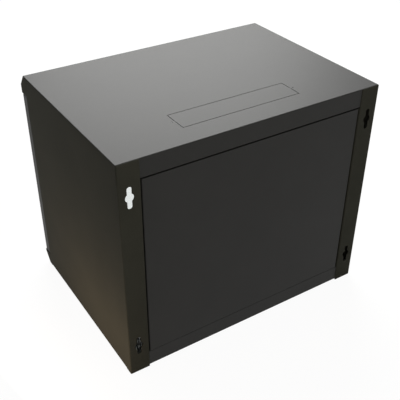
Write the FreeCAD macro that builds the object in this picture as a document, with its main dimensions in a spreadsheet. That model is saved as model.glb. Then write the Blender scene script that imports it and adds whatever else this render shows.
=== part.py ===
import FreeCAD, Part
import math
import os
import re

import Sketcher

# A 19-inch wall mount network cabinet of 9 units: a folded sheet steel body with keyholed rear posts,
# a glass door on two sprung pins, a cam lock, and two mounting rails that slide along slotted brackets.
#
# Frame: +Z up, the door faces -Y, the origin is the middle of the footprint. Lengths are millimetres.
# "Right" is +X. A sheet's outer face carries the overall size, and its wall is laid inwards.

# ---------------------------------------------------------------------------------------------------
# Driving dimensions, one spreadsheet row each
# ---------------------------------------------------------------------------------------------------

SIZES = [
    ("cabinet_width", 600.0, "outside, over the side panels"),
    ("cabinet_depth", 450.0, "outside, from the noses' front to the rear posts"),
    ("cabinet_height", 501.0, "outside, from the side panels' feet to the top panel"),
    ("side_wall", 1.5, "sheet of the side panels"),
    ("panel_wall", 1.2, "sheet of the top, bottom and rear panels"),
    ("bend_radius", 0.8, "inner radius of every fold"),
    ("seam_gap", 0.3, "painted seam between two sheets"),
    ("edge_inset", 0.3, "top panel's edge inside the side panel's face"),
    # rear posts and flanges
    ("post_width", 45.0, "rear strip that carries the keyholes"),
    ("post_depth", 15.0, "rear face to the front of the post's inner flange"),
    ("post_flange", 13.5, "inner flange that the rear panel seats on"),
    ("post_notch", 1.0, "post's return held clear of the panels' flanges"),
    ("slit_width", 1.2, "relief slit at the top of the rear corner"),
    ("fold_relief", 0.6, "relief cut at the end of a side flange"),
    ("rear_flange", 40.0, "height of the top and bottom panels' rear flanges"),
    ("return_depth", 11.0, "stiffening return of a flange"),
    ("side_flange", 20.0, "side panel's flanges under the top and bottom panels"),
    ("flange_setback", 20.0, "side flanges held clear of the rear face"),
    ("front_flange", 14.0, "side panel's flange behind the door"),
    # front noses
    ("nose_run", 22.0, "top nose, depth of the chamfer"),
    ("nose_drop", 27.0, "top nose, height of the chamfer"),
    ("nose_height", 46.5, "top nose, whole height"),
    ("sill_run", 20.0, "bottom nose, depth of the chamfer"),
    ("sill_drop", 26.0, "bottom nose, height of the chamfer"),
    ("sill_height", 30.0, "bottom nose, whole height"),
    ("nose_stiffener", 10.0, "turned edge at the back of both noses"),
    ("door_recess", 28.0, "noses' front to the side panel's front edge"),
    # wall keyholes
    ("keyhole_inset", 22.0, "keyhole centres inside the cabinet's side"),
    ("keyhole_spacing", 358.0, "between the upper and the lower keyholes"),
    ("keyhole_length", 46.0, "slot, end to end"),
    ("keyhole_width", 10.0, "slot, for the shank of the wall bolt"),
    ("keyhole_head", 18.0, "round middle, for the head of the wall bolt"),
    # cable entries
    ("entry_width", 272.0, "opening in the top and bottom panels"),
    ("entry_depth", 58.0, "the same, front to back"),
    ("entry_from_rear", 55.5, "opening's rear edge from the rear face"),
    ("entry_gap", 1.2, "cut line round the knock-out plate"),
    ("bridge_width", 4.0, "micro-bridge that holds the plate"),
    ("relief_radius", 1.5, "relief hole beside each bridge"),
    ("relief_offset", 6.0, "relief hole outside the opening"),
    # rear panel
    ("pan_gap", 2.5, "gap round the rear panel at the top and the sides"),
    ("pan_seam", 0.6, "gap under the rear panel"),
    ("pan_flange", 11.0, "rear panel's inner flange on the posts"),
    ("pan_return", 10.0, "rear panel's top and bottom returns"),
    ("pan_screw_margin", 55.0, "outer rear panel screws from the panel's ends"),
    # depth brackets
    ("bracket_wall", 1.5, "sheet of the depth brackets"),
    ("bracket_depth", 16.5, "bracket's slotted face to the side panel"),
    ("bracket_height", 30.0, "bracket's slotted face"),
    ("bracket_foot", 10.0, "welded foot above and below the face"),
    ("bracket_inset", 30.0, "bracket's centre from the cabinet's top and foot"),
    ("bracket_front_gap", 7.0, "side panel's front edge to the bracket"),
    ("bracket_rear_gap", 5.0, "bracket's end to the rear post"),
    # mounting rails
    ("rack_units", 9, "units of height between the noses"),
    ("unit_height", 44.45, "one unit"),
    ("hole_step", 15.875, "middle hole of a unit to its neighbours"),
    ("hole_side", 9.5, "square hole for a cage nut"),
    ("hole_span", 465.1, "holes, left rail to right rail"),
    ("hole_margin", 7.05, "hole's middle to the rail's inner edge"),
    ("rail_wall", 2.0, "sheet of the rails"),
    ("rail_web", 40.0, "rail's depth"),
    ("rail_lip", 12.0, "rail's turned rear edge"),
    ("rail_end_gap", 9.0, "rail's ends from the cabinet's top and foot"),
    ("rail_setback", 50.0, "door's back to the rail's face"),
    ("rail_forward", 15.0, "rail's travel towards the door"),
    ("rail_backward", 180.0, "rail's travel towards the wall"),
    ("slide_gap", 0.1, "running gap between a rail and its brackets"),
    ("rail_screw_front", 13.0, "first clamping screw behind the rail's face"),
    ("rail_screw_pitch", 14.0, "between the two clamping screws"),
    # M6 and M5 fasteners
    ("bolt_radius", 3.0, "M6 shank"),
    ("bolt_play", 0.3, "M6 shank in its hole"),
    ("bolt_head_radius", 6.0, "M6 pan head"),
    ("bolt_head_height", 3.6, "M6 pan head"),
    ("bolt_end", 1.5, "M6 shank past its nut"),
    ("nut_flats", 10.0, "M6 flange nut across flats"),
    ("nut_height", 6.0, "M6 flange nut with its flange"),
    ("nut_flange_radius", 6.2, "M6 flange nut's flange"),
    ("nut_flange_height", 1.2, "M6 flange nut's flange"),
    ("nut_play", 0.1, "a nut's bore round its shank"),
    ("small_screw_radius", 2.0, "rear panel screw's core"),
    ("small_screw_play", 0.6, "rear panel screw in the post's flange"),
    ("small_head_radius", 4.5, "rear panel screw's head"),
    ("small_head_height", 2.6, "rear panel screw's head"),
    ("small_screw_length", 8.0, "rear panel screw under its head"),
    ("head_rim_share", 0.5, "upright part of a screw head's height"),
    ("head_crown_share", 0.72, "flat top of a screw head over its width"),
    ("socket_share", 0.8, "hex socket across flats over the head's radius"),
    ("socket_floor_share", 0.4, "metal left under a hex socket over the head's height"),
    ("stud_tip_share", 0.25, "chamfer at a stud's end over its radius"),
    ("stud_pitch", 150.0, "between the studs of a side flange"),
    ("earth_side", 200.0, "earth stud from the middle plane"),
    ("earth_from_rear", 60.0, "earth stud from the rear face"),
    ("earth_length", 18.0, "earth stud above the bottom panel"),
    ("washer_radius", 6.5, "earth washer"),
    ("washer_wall", 0.8, "earth washer"),
    # door
    ("door_setback", 3.0, "door's face behind the noses' front"),
    ("door_depth", 22.0, "door's tray"),
    ("door_wall", 1.2, "sheet of the door"),
    ("door_gap", 1.5, "gap over and under the door"),
    ("door_inset", 0.5, "door's edge inside the cabinet's side"),
    ("door_stile", 52.0, "frame beside the window"),
    ("door_bar", 32.0, "frame over and under the window"),
    ("door_back_flange", 12.0, "tray's turned back edge"),
    ("glass_wall", 4.0, "toughened glass"),
    ("glass_overlap", 10.0, "glass behind the frame"),
    ("tape_wall", 1.0, "bonding tape"),
    ("tape_inset", 0.5, "bonding tape inside the overlap on both edges"),
    # glass clips
    ("clip_wall", 1.5, "sheet of a glass clip"),
    ("clip_width", 16.0, "clip, along the glass edge"),
    ("clip_stud_gap", 7.0, "stud's centre to the glass edge"),
    ("clip_tail", 6.0, "clip behind its stud"),
    ("clip_riser", 1.0, "clip's riser to the glass edge"),
    ("clip_finger", 7.0, "clip over the glass"),
    ("clip_play", 0.2, "clip's hole round its stud"),
    ("clip_stud_radius", 2.0, "M4 weld stud"),
    ("clip_stud_length", 9.0, "M4 weld stud"),
    ("clip_nut_flats", 7.0, "M4 nut across flats"),
    ("clip_nut_height", 3.2, "M4 nut"),
    ("clip_side_pitch", 220.0, "between the two clips beside the window"),
    ("clip_bar_pitch", 300.0, "between the two clips over or under the window"),
    # hinge pins
    ("pin_inset", 8.0, "pin's axis from the door's side and from its face"),
    ("pin_radius", 3.0, "hinge pin"),
    ("pin_play", 0.05, "pin in its bush"),
    ("pin_hole_play", 0.08, "pin in the door's edge and guide"),
    ("pin_travel", 9.0, "pin drawn back to free the door"),
    ("pin_clear", 1.0, "drawn pin's tip inside the door's edge"),
    ("pin_tip", 1.0, "chamfer at the pin's tip"),
    ("guide_drop", 48.0, "door's edge to the pin guide"),
    ("guide_wall", 1.5, "sheet of the pin guide"),
    ("guide_width", 12.0, "pin guide, front to back"),
    ("guide_reach", 14.0, "pin guide, from the door's side wall"),
    ("guide_foot", 14.0, "pin guide's welded foot"),
    ("handle_radius", 2.4, "pin's cross handle"),
    ("handle_reach", 20.0, "cross handle from the pin's axis"),
    ("handle_gap", 0.4, "cross handle to the pin guide"),
    ("clip_ring_radius", 5.0, "retaining clip"),
    ("clip_ring_wall", 1.0, "retaining clip"),
    ("clip_ring_groove", 0.4, "depth of the pin's groove"),
    ("clip_ring_play", 0.05, "retaining clip in its groove"),
    ("spring_length", 30.0, "spring between the guide and the clip"),
    ("spring_wire", 1.2, "spring wire"),
    ("spring_radius", 4.0, "spring's mean radius"),
    ("spring_turns", 6, "turns of the spring"),
    ("bush_radius", 5.0, "hinge bush in the nose"),
    ("bush_play", 0.05, "hinge bush in its hole"),
    ("bush_flange_radius", 6.0, "hinge bush's flange"),
    ("bush_flange_wall", 0.8, "hinge bush's flange"),
    ("bush_length", 5.0, "hinge bush behind its flange"),
    # cam lock
    ("lock_inset", 27.0, "lock's axis from the door's side"),
    ("lock_ring_radius", 10.0, "lock's face ring"),
    ("lock_ring_height", 2.0, "lock's face ring proud of the door"),
    ("lock_barrel_radius", 8.0, "lock's barrel"),
    ("lock_flat", 7.0, "barrel's flat sides from the lock's axis"),
    ("lock_hole_play", 0.1, "barrel in the door and in its nut"),
    ("lock_barrel_gap", 1.0, "barrel's end in front of the side panel's front flange"),
    ("lock_nut_flats", 20.0, "lock's fixing nut across flats"),
    ("lock_nut_height", 4.0, "lock's fixing nut"),
    ("plug_radius", 5.95, "turning plug"),
    ("plug_play", 0.05, "turning plug in the barrel"),
    ("plug_recess", 0.3, "plug's face inside the ring"),
    ("keyway_length", 8.0, "key slot"),
    ("keyway_width", 1.8, "key slot"),
    ("keyway_depth", 12.0, "key slot"),
    ("cam_gap", 0.4, "front flange to the cam"),
    ("cam_wall", 2.0, "cam"),
    ("cam_width", 14.0, "cam"),
    ("cam_reach", 20.0, "cam's tip from the lock's axis"),
    ("cam_corner_share", 0.6, "cam's rounded corners over its half width"),
    ("cam_square", 6.0, "plug's square end in the cam"),
    ("cam_square_play", 0.05, "cam on the plug's square end"),
    ("cam_screw_radius", 4.6, "cam screw's head"),
    ("cam_screw_height", 3.0, "cam screw's head"),
    # door buffers
    ("buffer_width", 10.0, "door buffer"),
    ("buffer_height", 24.0, "door buffer"),
    ("buffer_clearance", 0.3, "door buffer to the closed door"),
    ("buffer_margin", 36.0, "door buffers from the noses"),
]

# Places worked out from the driving dimensions. Each is expanded into the expressions that use it.
PLACES = {
    "half_width": "cabinet_width / 2",
    "rear": "cabinet_depth / 2",
    "front": "0 - cabinet_depth / 2",
    "web_in": "half_width - side_wall",
    "strip_in": "rear - side_wall",
    "mid_rear": "strip_in - seam_gap",
    "mid_half": "web_in - seam_gap",
    "web_top": "cabinet_height - panel_wall",
    "wrap": "panel_wall + seam_gap",
    "recess": "front + door_recess",
    "outer_bend": "bend_radius + panel_wall",
    "side_bend": "bend_radius + side_wall",
    # noses: the turn of each chamfer, and how far a wall shortens a side at each end of it
    "nose_turn": "atan(nose_drop / nose_run)",
    "sill_turn": "atan(sill_drop / sill_run)",
    "nose_low": "cabinet_height - nose_height",
    "sill_start": "front + sill_run * (1 - side_wall / sill_drop)",
    # rear posts
    "post_in": "half_width - post_width",
    "post_front": "rear - post_depth",
    "post_seat": "post_front + side_wall",
    "keyhole_middle": "cabinet_height / 2",
    "keyhole_side": "half_width - keyhole_inset",
    # cable entries
    "entry_half": "entry_width / 2",
    "entry_rear": "rear - entry_from_rear",
    "entry_front": "entry_rear - entry_depth",
    "entry_middle": "(entry_rear + entry_front) / 2",
    # rear panel
    "pan_half": "post_in - pan_gap",
    "pan_low": "rear_flange + pan_seam",
    "pan_top": "cabinet_height - rear_flange - pan_gap",
    "pan_screw_side": "(pan_half - pan_flange / 2 + post_in - post_flange / 2) / 2",
    "pan_screw_step": "(pan_top - pan_low) / 2 - pan_screw_margin",
    "pan_middle": "(pan_top + pan_low) / 2",
    # door
    "door_front": "front + door_setback",
    "door_back": "door_front + door_depth",
    "door_low": "sill_height + door_gap",
    "door_top": "nose_low - door_gap",
    "door_half": "half_width - door_inset",
    "door_middle": "(door_low + door_top) / 2",
    "sheet_back": "door_front + door_wall",
    "window_half": "door_half - door_stile",
    "window_low": "door_low + door_bar",
    "window_top": "door_top - door_bar",
    "glass_half": "window_half + glass_overlap",
    "glass_low": "window_low - glass_overlap",
    "glass_top": "window_top + glass_overlap",
    "glass_front": "sheet_back + tape_wall",
    "glass_back": "glass_front + glass_wall",
    "clip_seat": "sheet_back + clip_wall",
    # rails and brackets
    "bracket_in": "web_in - bracket_depth",
    "rail_inner": "hole_span / 2 - hole_margin",
    "rail_outer": "bracket_in - slide_gap",
    "rail_front": "door_back + rail_setback",
    "rail_low": "rail_end_gap",
    "rail_top": "cabinet_height - rail_end_gap",
    "rack_low": "door_middle - rack_units * unit_height / 2",
    "bracket_front": "recess + bracket_front_gap",
    "bracket_rear": "post_front - bracket_rear_gap",
    "bracket_low_middle": "bracket_inset",
    "bracket_top_middle": "cabinet_height - bracket_inset",
    "slot_radius": "bolt_radius + bolt_play",
    "slot_front": "rail_front - rail_forward + rail_screw_front",
    "slot_rear": "rail_front + rail_backward + rail_screw_front + rail_screw_pitch",
    "rail_nut_seat": "bracket_in + bracket_wall + slide_gap",
    "stud_side": "web_in - side_flange / 2",
    # hinge pins
    "pin_side": "door_half - pin_inset",
    "pin_depth": "door_front + pin_inset",
    "pin_reach": "pin_travel - pin_clear",
    # cam lock
    "lock_side": "door_half - lock_inset",
    "barrel_end": "recess - lock_barrel_gap",
    "cam_front": "recess + side_wall + cam_gap",
    "cam_back": "cam_front + cam_wall",
}

document = FreeCAD.newDocument("WallCabinet")
table = document.addObject("Spreadsheet::Sheet", "Sizes")
for row, (alias, value, meaning) in enumerate(SIZES, start=1):
    table.set(f"A{row}", alias)
    table.set(f"B{row}", str(value))
    table.set(f"C{row}", meaning)
    table.setAlias(f"B{row}", alias)
document.recompute()

ALIASES = {alias for alias, value, meaning in SIZES}
LEFT = "-1"
RIGHT = "1"
NEAR = 1e-4
SIDES = {"left": LEFT, "right": RIGHT}
# How far a cut's tool runs past the sheet that it goes through.
OVERRUN = "1"


# ---------------------------------------------------------------------------------------------------
# Expressions, sketches and features
# ---------------------------------------------------------------------------------------------------

def formula(text):
    """Write an expression over the sheet's cells out of one over sizes and places."""
    def written_out(match):
        word = match.group(0)
        if word in PLACES:
            return "(" + formula(PLACES[word]) + ")"
        return "Sizes." + word if word in ALIASES else word
    return re.sub(r"[a-z][a-z_]+", written_out, str(text))


def number(text):
    """The value that an expression over sizes and places has now."""
    value = table.evalExpression(formula(text))
    return float(getattr(value, "Value", value))


def hold(sketch, kind, first, first_point, second, second_point, text):
    """Hold two points of a sketch at a distance given by an expression."""
    constraint = Sketcher.Constraint(kind, first, first_point, second, second_point, number(text))
    index = sketch.addConstraint(constraint)
    sketch.setExpression(f"Constraints[{index}]", formula(text))


def hold_point(sketch, geometry, point, across, up):
    """Hold a point of a sketch at its two distances from the sketch's origin."""
    hold(sketch, "DistanceX", -1, 1, geometry, point, across)
    hold(sketch, "DistanceY", -1, 1, geometry, point, up)


def polygon(*corners):
    """A closed outline of straight sides, given by its corners."""
    def draw(sketch):
        places = [FreeCAD.Vector(number(across), number(up), 0) for across, up in corners]
        count = len(corners)
        first = sketch.GeometryCount
        for index in range(count):
            side = Part.LineSegment(places[index], places[(index + 1) % count])
            sketch.addGeometry(side, False)
        for index in range(count):
            following = first + (index + 1) % count
            sketch.addConstraint(Sketcher.Constraint("Coincident", first + index, 2, following, 1))
        for index, (across, up) in enumerate(corners):
            hold_point(sketch, first + index, 1, across, up)
    return draw


def rectangle(low_across, high_across, low_up, high_up):
    """An upright rectangle between two limits each way."""
    return polygon((low_across, low_up), (high_across, low_up), (high_across, high_up), (low_across, high_up))


def circle(across, up, radius):
    """A circle about a point."""
    def draw(sketch):
        centre = FreeCAD.Vector(number(across), number(up), 0)
        index = sketch.addGeometry(Part.Circle(centre, FreeCAD.Vector(0, 0, 1), number(radius)), False)
        hold_point(sketch, index, 3, across, up)
        size = sketch.addConstraint(Sketcher.Constraint("Radius", index, number(radius)))
        sketch.setExpression(f"Constraints[{size}]", formula(radius))
    return draw


def slot(across_low, up_low, across_high, up_high, radius):
    """A slot with round ends about two centres, upright or level."""
    def draw(sketch):
        size = number(radius)
        low = FreeCAD.Vector(number(across_low), number(up_low), 0)
        high = FreeCAD.Vector(number(across_high), number(up_high), 0)
        along = (high - low).normalize()
        beside = FreeCAD.Vector(-along.y, along.x, 0) * size
        low_end = Part.Arc(low + beside, low - along * size, low - beside)
        high_end = Part.Arc(high - beside, high + along * size, high + beside)
        low_arc = sketch.addGeometry(low_end, False)
        first_side = sketch.addGeometry(Part.LineSegment(low - beside, high - beside), False)
        high_arc = sketch.addGeometry(high_end, False)
        second_side = sketch.addGeometry(Part.LineSegment(high + beside, low + beside), False)
        for first, first_point, second, second_point in (
            (low_arc, 2, first_side, 1),
            (first_side, 2, high_arc, 1),
            (high_arc, 2, second_side, 1),
            (second_side, 2, low_arc, 1),
        ):
            sketch.addConstraint(Sketcher.Constraint("Tangent", first, first_point, second, second_point))
        hold_point(sketch, low_arc, 3, across_low, up_low)
        hold_point(sketch, high_arc, 3, across_high, up_high)
        held = sketch.addConstraint(Sketcher.Constraint("Radius", low_arc, size))
        sketch.setExpression(f"Constraints[{held}]", formula(radius))
    return draw


def flatted(across, up, radius, flat):
    """A circle with two upright flat sides at this distance from its centre."""
    rise = f"sqrt(({radius}) ^ 2 - ({flat}) ^ 2)"

    def draw(sketch):
        size, reach, half = number(radius), number(flat), number(rise)
        centre = FreeCAD.Vector(number(across), number(up), 0)
        corners = [centre + FreeCAD.Vector(*offset, 0)
                   for offset in ((reach, half), (-reach, half), (-reach, -half), (reach, -half))]
        crown = centre + FreeCAD.Vector(0, size, 0)
        foot = centre - FreeCAD.Vector(0, size, 0)
        top_arc = sketch.addGeometry(Part.Arc(corners[0], crown, corners[1]), False)
        left_side = sketch.addGeometry(Part.LineSegment(corners[1], corners[2]), False)
        low_arc = sketch.addGeometry(Part.Arc(corners[2], foot, corners[3]), False)
        right_side = sketch.addGeometry(Part.LineSegment(corners[3], corners[0]), False)
        for first, first_point, second, second_point in (
            (top_arc, 2, left_side, 1),
            (left_side, 2, low_arc, 1),
            (low_arc, 2, right_side, 1),
            (right_side, 2, top_arc, 1),
            (top_arc, 3, low_arc, 3),
        ):
            sketch.addConstraint(Sketcher.Constraint("Coincident", first, first_point, second, second_point))
        hold_point(sketch, top_arc, 3, across, up)
        hold_point(sketch, left_side, 1, f"({across}) - ({flat})", f"({up}) + {rise}")
        hold_point(sketch, right_side, 1, f"({across}) + ({flat})", f"({up}) - {rise}")
        for side in (left_side, right_side):
            sketch.addConstraint(Sketcher.Constraint("Vertical", side))
    return draw


def hexagon(across, up, flats):
    """A hexagon across flats with two sides upright."""
    half_side = f"({flats}) / 2 * tan(30)"
    corner = f"({flats}) / 2 / cos(30)"
    return polygon(
        (f"{across} + ({flats}) / 2", f"{up} - {half_side}"),
        (f"{across} + ({flats}) / 2", f"{up} + {half_side}"),
        (f"{across}", f"{up} + {corner}"),
        (f"{across} - ({flats}) / 2", f"{up} + {half_side}"),
        (f"{across} - ({flats}) / 2", f"{up} - {half_side}"),
        (f"{across}", f"{up} - {corner}"),
    )


def new_body(label):
    """A body whose label names the piece."""
    body = document.addObject("PartDesign::Body", label)
    body.Label = label
    return body


def origin_feature(body, role):
    """One of a body's own origin planes or axes."""
    return next(feature for feature in body.Origin.OriginFeatures if feature.Role == role)


# The row axis that each plane looks along, and whether the plane's own normal follows it.
PLANES = {"top": ("XY_Plane", 1), "front": ("XZ_Plane", -1), "side": ("YZ_Plane", 1)}


def new_sketch(body, name, plane, height, outlines):
    """A sketch at a height along the plane's row axis: top is X and Y, front X and Z, side Y and Z."""
    role, sense = PLANES[plane]
    sketch = body.newObject("Sketcher::SketchObject", f"{name}_sketch")
    sketch.AttachmentSupport = [(origin_feature(body, role), "")]
    sketch.MapMode = "FlatFace"
    sketch.setExpression("AttachmentOffset.Base.z", formula(f"{sense} * ({height})"))
    for draw in outlines:
        draw(sketch)
    return sketch


def pad(body, name, plane, low, high, *outlines):
    """Add what the outlines enclose, from a low to a high place along the plane's row axis."""
    sketch = new_sketch(body, name, plane, low, outlines)
    feature = body.newObject("PartDesign::Pad", name)
    feature.Profile = sketch
    feature.Reversed = PLANES[plane][1] < 0
    feature.setExpression("Length", formula(f"({high}) - ({low})"))
    sketch.Visibility = False
    document.recompute()
    return feature


def through(low, high):
    """The limits of a cut that goes through a sheet between these two places."""
    return f"({low}) - {OVERRUN}", f"({high}) + {OVERRUN}"


def cut(body, name, plane, low, high, *outlines):
    """Remove what the outlines enclose, from a low to a high place along the plane's row axis."""
    sketch = new_sketch(body, name, plane, low, outlines)
    feature = body.newObject("PartDesign::Pocket", name)
    feature.Profile = sketch
    feature.Reversed = PLANES[plane][1] > 0
    feature.setExpression("Length", formula(f"({high}) - ({low})"))
    sketch.Visibility = False
    document.recompute()
    return feature


def revolve(body, name, *outlines):
    """Turn what the outlines enclose once about the Z axis: X is the radius."""
    sketch = new_sketch(body, name, "front", "0", outlines)
    feature = body.newObject("PartDesign::Revolution", name)
    feature.Profile = sketch
    feature.ReferenceAxis = (origin_feature(body, "Z_Axis"), [""])
    document.recompute()
    return feature


def round_folds(body, name, direction, radius, *places, past=None):
    """Round the edges that run along X, Y or Z (0, 1 or 2) through the given places of the other two.

    With past, an edge counts only if it runs past that place along its own direction.
    """
    tip = body.Tip
    others = [index for index in range(3) if index != direction]
    targets = [(number(across), number(up)) for across, up in places]
    chosen = []
    for index, edge in enumerate(tip.Shape.Edges, start=1):
        ends = [vertex.Point for vertex in edge.Vertexes]
        if len(ends) != 2 or not isinstance(edge.Curve, Part.Line):
            continue
        along = sorted(end[direction] for end in ends)
        if past is not None and not along[0] < number(past) < along[1]:
            continue
        for across, up in targets:
            if all(abs(end[others[0]] - across) < NEAR and abs(end[others[1]] - up) < NEAR for end in ends):
                chosen.append(f"Edge{index}")
    feature = body.newObject("PartDesign::Fillet", name)
    feature.Base = (tip, chosen)
    feature.setExpression("Radius", formula(radius))
    document.recompute()
    return feature


def place(thing, across="0", deep="0", up="0", axis=(0, 0, 1), degrees=0):
    """Set a piece down at a place, after turning it about an axis."""
    thing.Placement = FreeCAD.Placement(FreeCAD.Vector(), FreeCAD.Rotation(FreeCAD.Vector(*axis), degrees))
    for letter, text in zip("xyz", (across, deep, up)):
        thing.setExpression(f"Placement.Base.{letter}", formula(text))
    document.recompute()


def repeat(label, master, places, axis=(0, 0, 1), degrees=0):
    """A node of identical separate pieces: the master's shape set down at each place."""
    copies = []
    for index, spot in enumerate(places):
        across, deep, up = spot[:3]
        turn_axis, turn = spot[3:] if len(spot) > 3 else (axis, degrees)
        copy = document.addObject("App::Link", f"{label}_{index + 1}")
        copy.LinkedObject = master
        place(copy, across, deep, up, turn_axis, turn)
        copies.append(copy)
    group = document.addObject("Part::Compound", label)
    group.Label = label
    group.Links = copies
    document.recompute()
    return group


NODES = []


def node(piece):
    """Count a finished piece among those that are written out."""
    NODES.append(piece)
    return piece


# ---------------------------------------------------------------------------------------------------
# Cabinet body: side, top, bottom and rear panels
# ---------------------------------------------------------------------------------------------------

def side_panel(hand_name):
    """A side: flat web with the noses' outline, rear keyhole post, and flanges for the other panels."""
    hand = SIDES[hand_name]
    body = new_body(f"side_panel_{hand_name}")

    def across(text):
        return f"{hand} * ({text})"

    def both(low, high):
        """Two places across the cabinet, in rising order on either side."""
        return (across(low), across(high)) if hand == RIGHT else (across(high), across(low))

    web = polygon(
        ("rear", "0"),
        ("rear", "cabinet_height"),
        ("strip_in", "cabinet_height"),
        ("strip_in", "web_top"),
        ("front + nose_run - panel_wall / tan(nose_turn) + wrap / sin(nose_turn)", "web_top"),
        ("front + wrap", "cabinet_height - nose_drop - wrap * tan((90 deg - nose_turn) / 2)"),
        ("front + wrap", "nose_low + wrap"),
        ("recess", "nose_low + wrap"),
        ("recess", "sill_height"),
        ("front", "sill_height"),
        ("front", "sill_drop"),
        ("front + sill_run", "0"),
    )
    pad(body, "web", "side", *both("web_in", "half_width"), web)
    pad(body, "rear_strip", "top", "0", "cabinet_height",
        rectangle(*both("post_in", "web_in"), "strip_in", "rear"))
    post_return = polygon(
        (across("post_in + side_wall"), "strip_in"),
        (across("post_in + side_wall"), "post_front"),
        (across("post_in - post_flange"), "post_front"),
        (across("post_in - post_flange"), "post_seat"),
        (across("post_in"), "post_seat"),
        (across("post_in"), "strip_in"),
    )
    pad(body, "post_return", "top", "rear_flange + post_notch",
        "cabinet_height - rear_flange - post_notch", post_return)
    pad(body, "top_flange", "front", "bracket_front", "rear - flange_setback",
        rectangle(*both("web_in - side_flange", "web_in"), "web_top - side_wall", "web_top"))
    pad(body, "bottom_flange", "front", "bracket_front", "rear - flange_setback",
        rectangle(*both("web_in - side_flange", "web_in"), "0", "side_wall"))
    pad(body, "front_flange", "top", "sill_height + wrap", "nose_low - wrap",
        rectangle(*both("web_in - front_flange", "web_in"), "recess", "recess + side_wall"))

    # A narrow relief at each end of a side flange, so that its fold ends there.
    flange_ends = (("bracket_front - fold_relief", "bracket_front"),
                   ("rear - flange_setback", "rear - flange_setback + fold_relief"))
    flange_heights = ((f"0 - {OVERRUN}", "side_bend"),
                      ("web_top - side_bend", f"web_top + {OVERRUN}"))
    reliefs = [rectangle(*end, *heights) for end in flange_ends for heights in flange_heights]
    past_web = both("web_in - seam_gap", f"half_width + {OVERRUN}")
    cut(body, "fold_reliefs", "side", *past_web, *reliefs)
    round_folds(body, "flange_folds", 1, "side_bend",
                (across("half_width"), "0"), (across("half_width"), "web_top"), past="0")
    round_folds(body, "outer_folds", 2, "side_bend",
                (across("half_width"), "rear"), (across("post_in"), "rear"))
    round_folds(body, "inner_folds", 2, "bend_radius",
                (across("web_in"), "strip_in"), (across("post_in + side_wall"), "strip_in"))

    for name, sense in (("upper", "1"), ("lower", "-1")):
        height = f"keyhole_middle + {sense} * keyhole_spacing / 2"
        reach = "(keyhole_length - keyhole_width) / 2"
        cut(body, f"{name}_keyhole", "front", *through("strip_in", "rear"),
            slot(across("keyhole_side"), f"{height} - {reach}", across("keyhole_side"), f"{height} + {reach}",
                 "keyhole_width / 2"))
        cut(body, f"{name}_keyhole_head", "front", *through("strip_in", "rear"),
            circle(across("keyhole_side"), height, "keyhole_head / 2"))
    cut(body, "corner_slit", "side", *past_web,
        rectangle("strip_in - slit_width", "strip_in", "cabinet_height - rear_flange", "cabinet_height"))

    screws = [circle(across("pan_screw_side"), f"pan_middle + {step} * pan_screw_step",
                     "small_screw_radius + small_screw_play") for step in (-1, 0, 1)]
    cut(body, "rear_panel_holes", "front", *through("post_front", "post_seat"), *screws)
    studs = [circle(across("stud_side"), f"{step} * stud_pitch", "slot_radius") for step in (-1, 0, 1)]
    cut(body, "top_stud_holes", "top", *through("web_top - side_wall", "web_top"), *studs)
    return node(body)


def top_panel():
    """The top: one sheet folded down at the rear, and round the chamfered nose to the door."""
    body = new_body("top_panel")
    profile = polygon(
        ("mid_rear - return_depth", "cabinet_height - rear_flange"),
        ("mid_rear", "cabinet_height - rear_flange"),
        ("mid_rear", "cabinet_height"),
        ("front + nose_run", "cabinet_height"),
        ("front", "cabinet_height - nose_drop"),
        ("front", "nose_low"),
        ("recess", "nose_low"),
        ("recess", "nose_low + nose_stiffener"),
        ("recess - panel_wall", "nose_low + nose_stiffener"),
        ("recess - panel_wall", "nose_low + panel_wall"),
        ("front + panel_wall", "nose_low + panel_wall"),
        ("front + panel_wall", "cabinet_height - nose_drop - panel_wall * tan((90 deg - nose_turn) / 2)"),
        ("front + nose_run + panel_wall * tan(nose_turn / 2)", "web_top"),
        ("mid_rear - panel_wall", "web_top"),
        ("mid_rear - panel_wall", "cabinet_height - rear_flange + panel_wall"),
        ("mid_rear - return_depth", "cabinet_height - rear_flange + panel_wall"),
    )
    pad(body, "folded_sheet", "side", "edge_inset - half_width", "half_width - edge_inset", profile)
    round_folds(body, "outer_folds", 0, "outer_bend",
                ("mid_rear", "cabinet_height"), ("mid_rear", "cabinet_height - rear_flange"),
                ("front + nose_run", "cabinet_height"), ("front", "cabinet_height - nose_drop"),
                ("front", "nose_low"), ("recess", "nose_low"))
    round_folds(body, "inner_folds", 0, "bend_radius",
                ("mid_rear - panel_wall", "web_top"),
                ("mid_rear - panel_wall", "cabinet_height - rear_flange + panel_wall"),
                ("front + panel_wall", "nose_low + panel_wall"),
                ("recess - panel_wall", "nose_low + panel_wall"))
    for name, hand in SIDES.items():
        ends = (f"{hand} * mid_half", f"{hand} * (half_width + {OVERRUN})")
        if hand == LEFT:
            ends = ends[::-1]
        cut(body, f"{name}_rear_relief", "front", *through("mid_rear - return_depth", "mid_rear"),
            rectangle(*ends, f"cabinet_height - rear_flange - {OVERRUN}", "web_top"))
        cut(body, f"{name}_nose_relief", "front", "recess - panel_wall - seam_gap", f"recess + {OVERRUN}",
            rectangle(*ends, "nose_low + panel_wall", f"nose_low + nose_stiffener + {OVERRUN}"))
    cut(body, "cable_entry", "top", *through("web_top", "cabinet_height"), *entry_outlines())
    cut(body, "hinge_hole", "top", *through("nose_low", "nose_low + panel_wall"),
        circle("0 - pin_side", "pin_depth", "bush_radius + bush_play"))
    return node(body)


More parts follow.
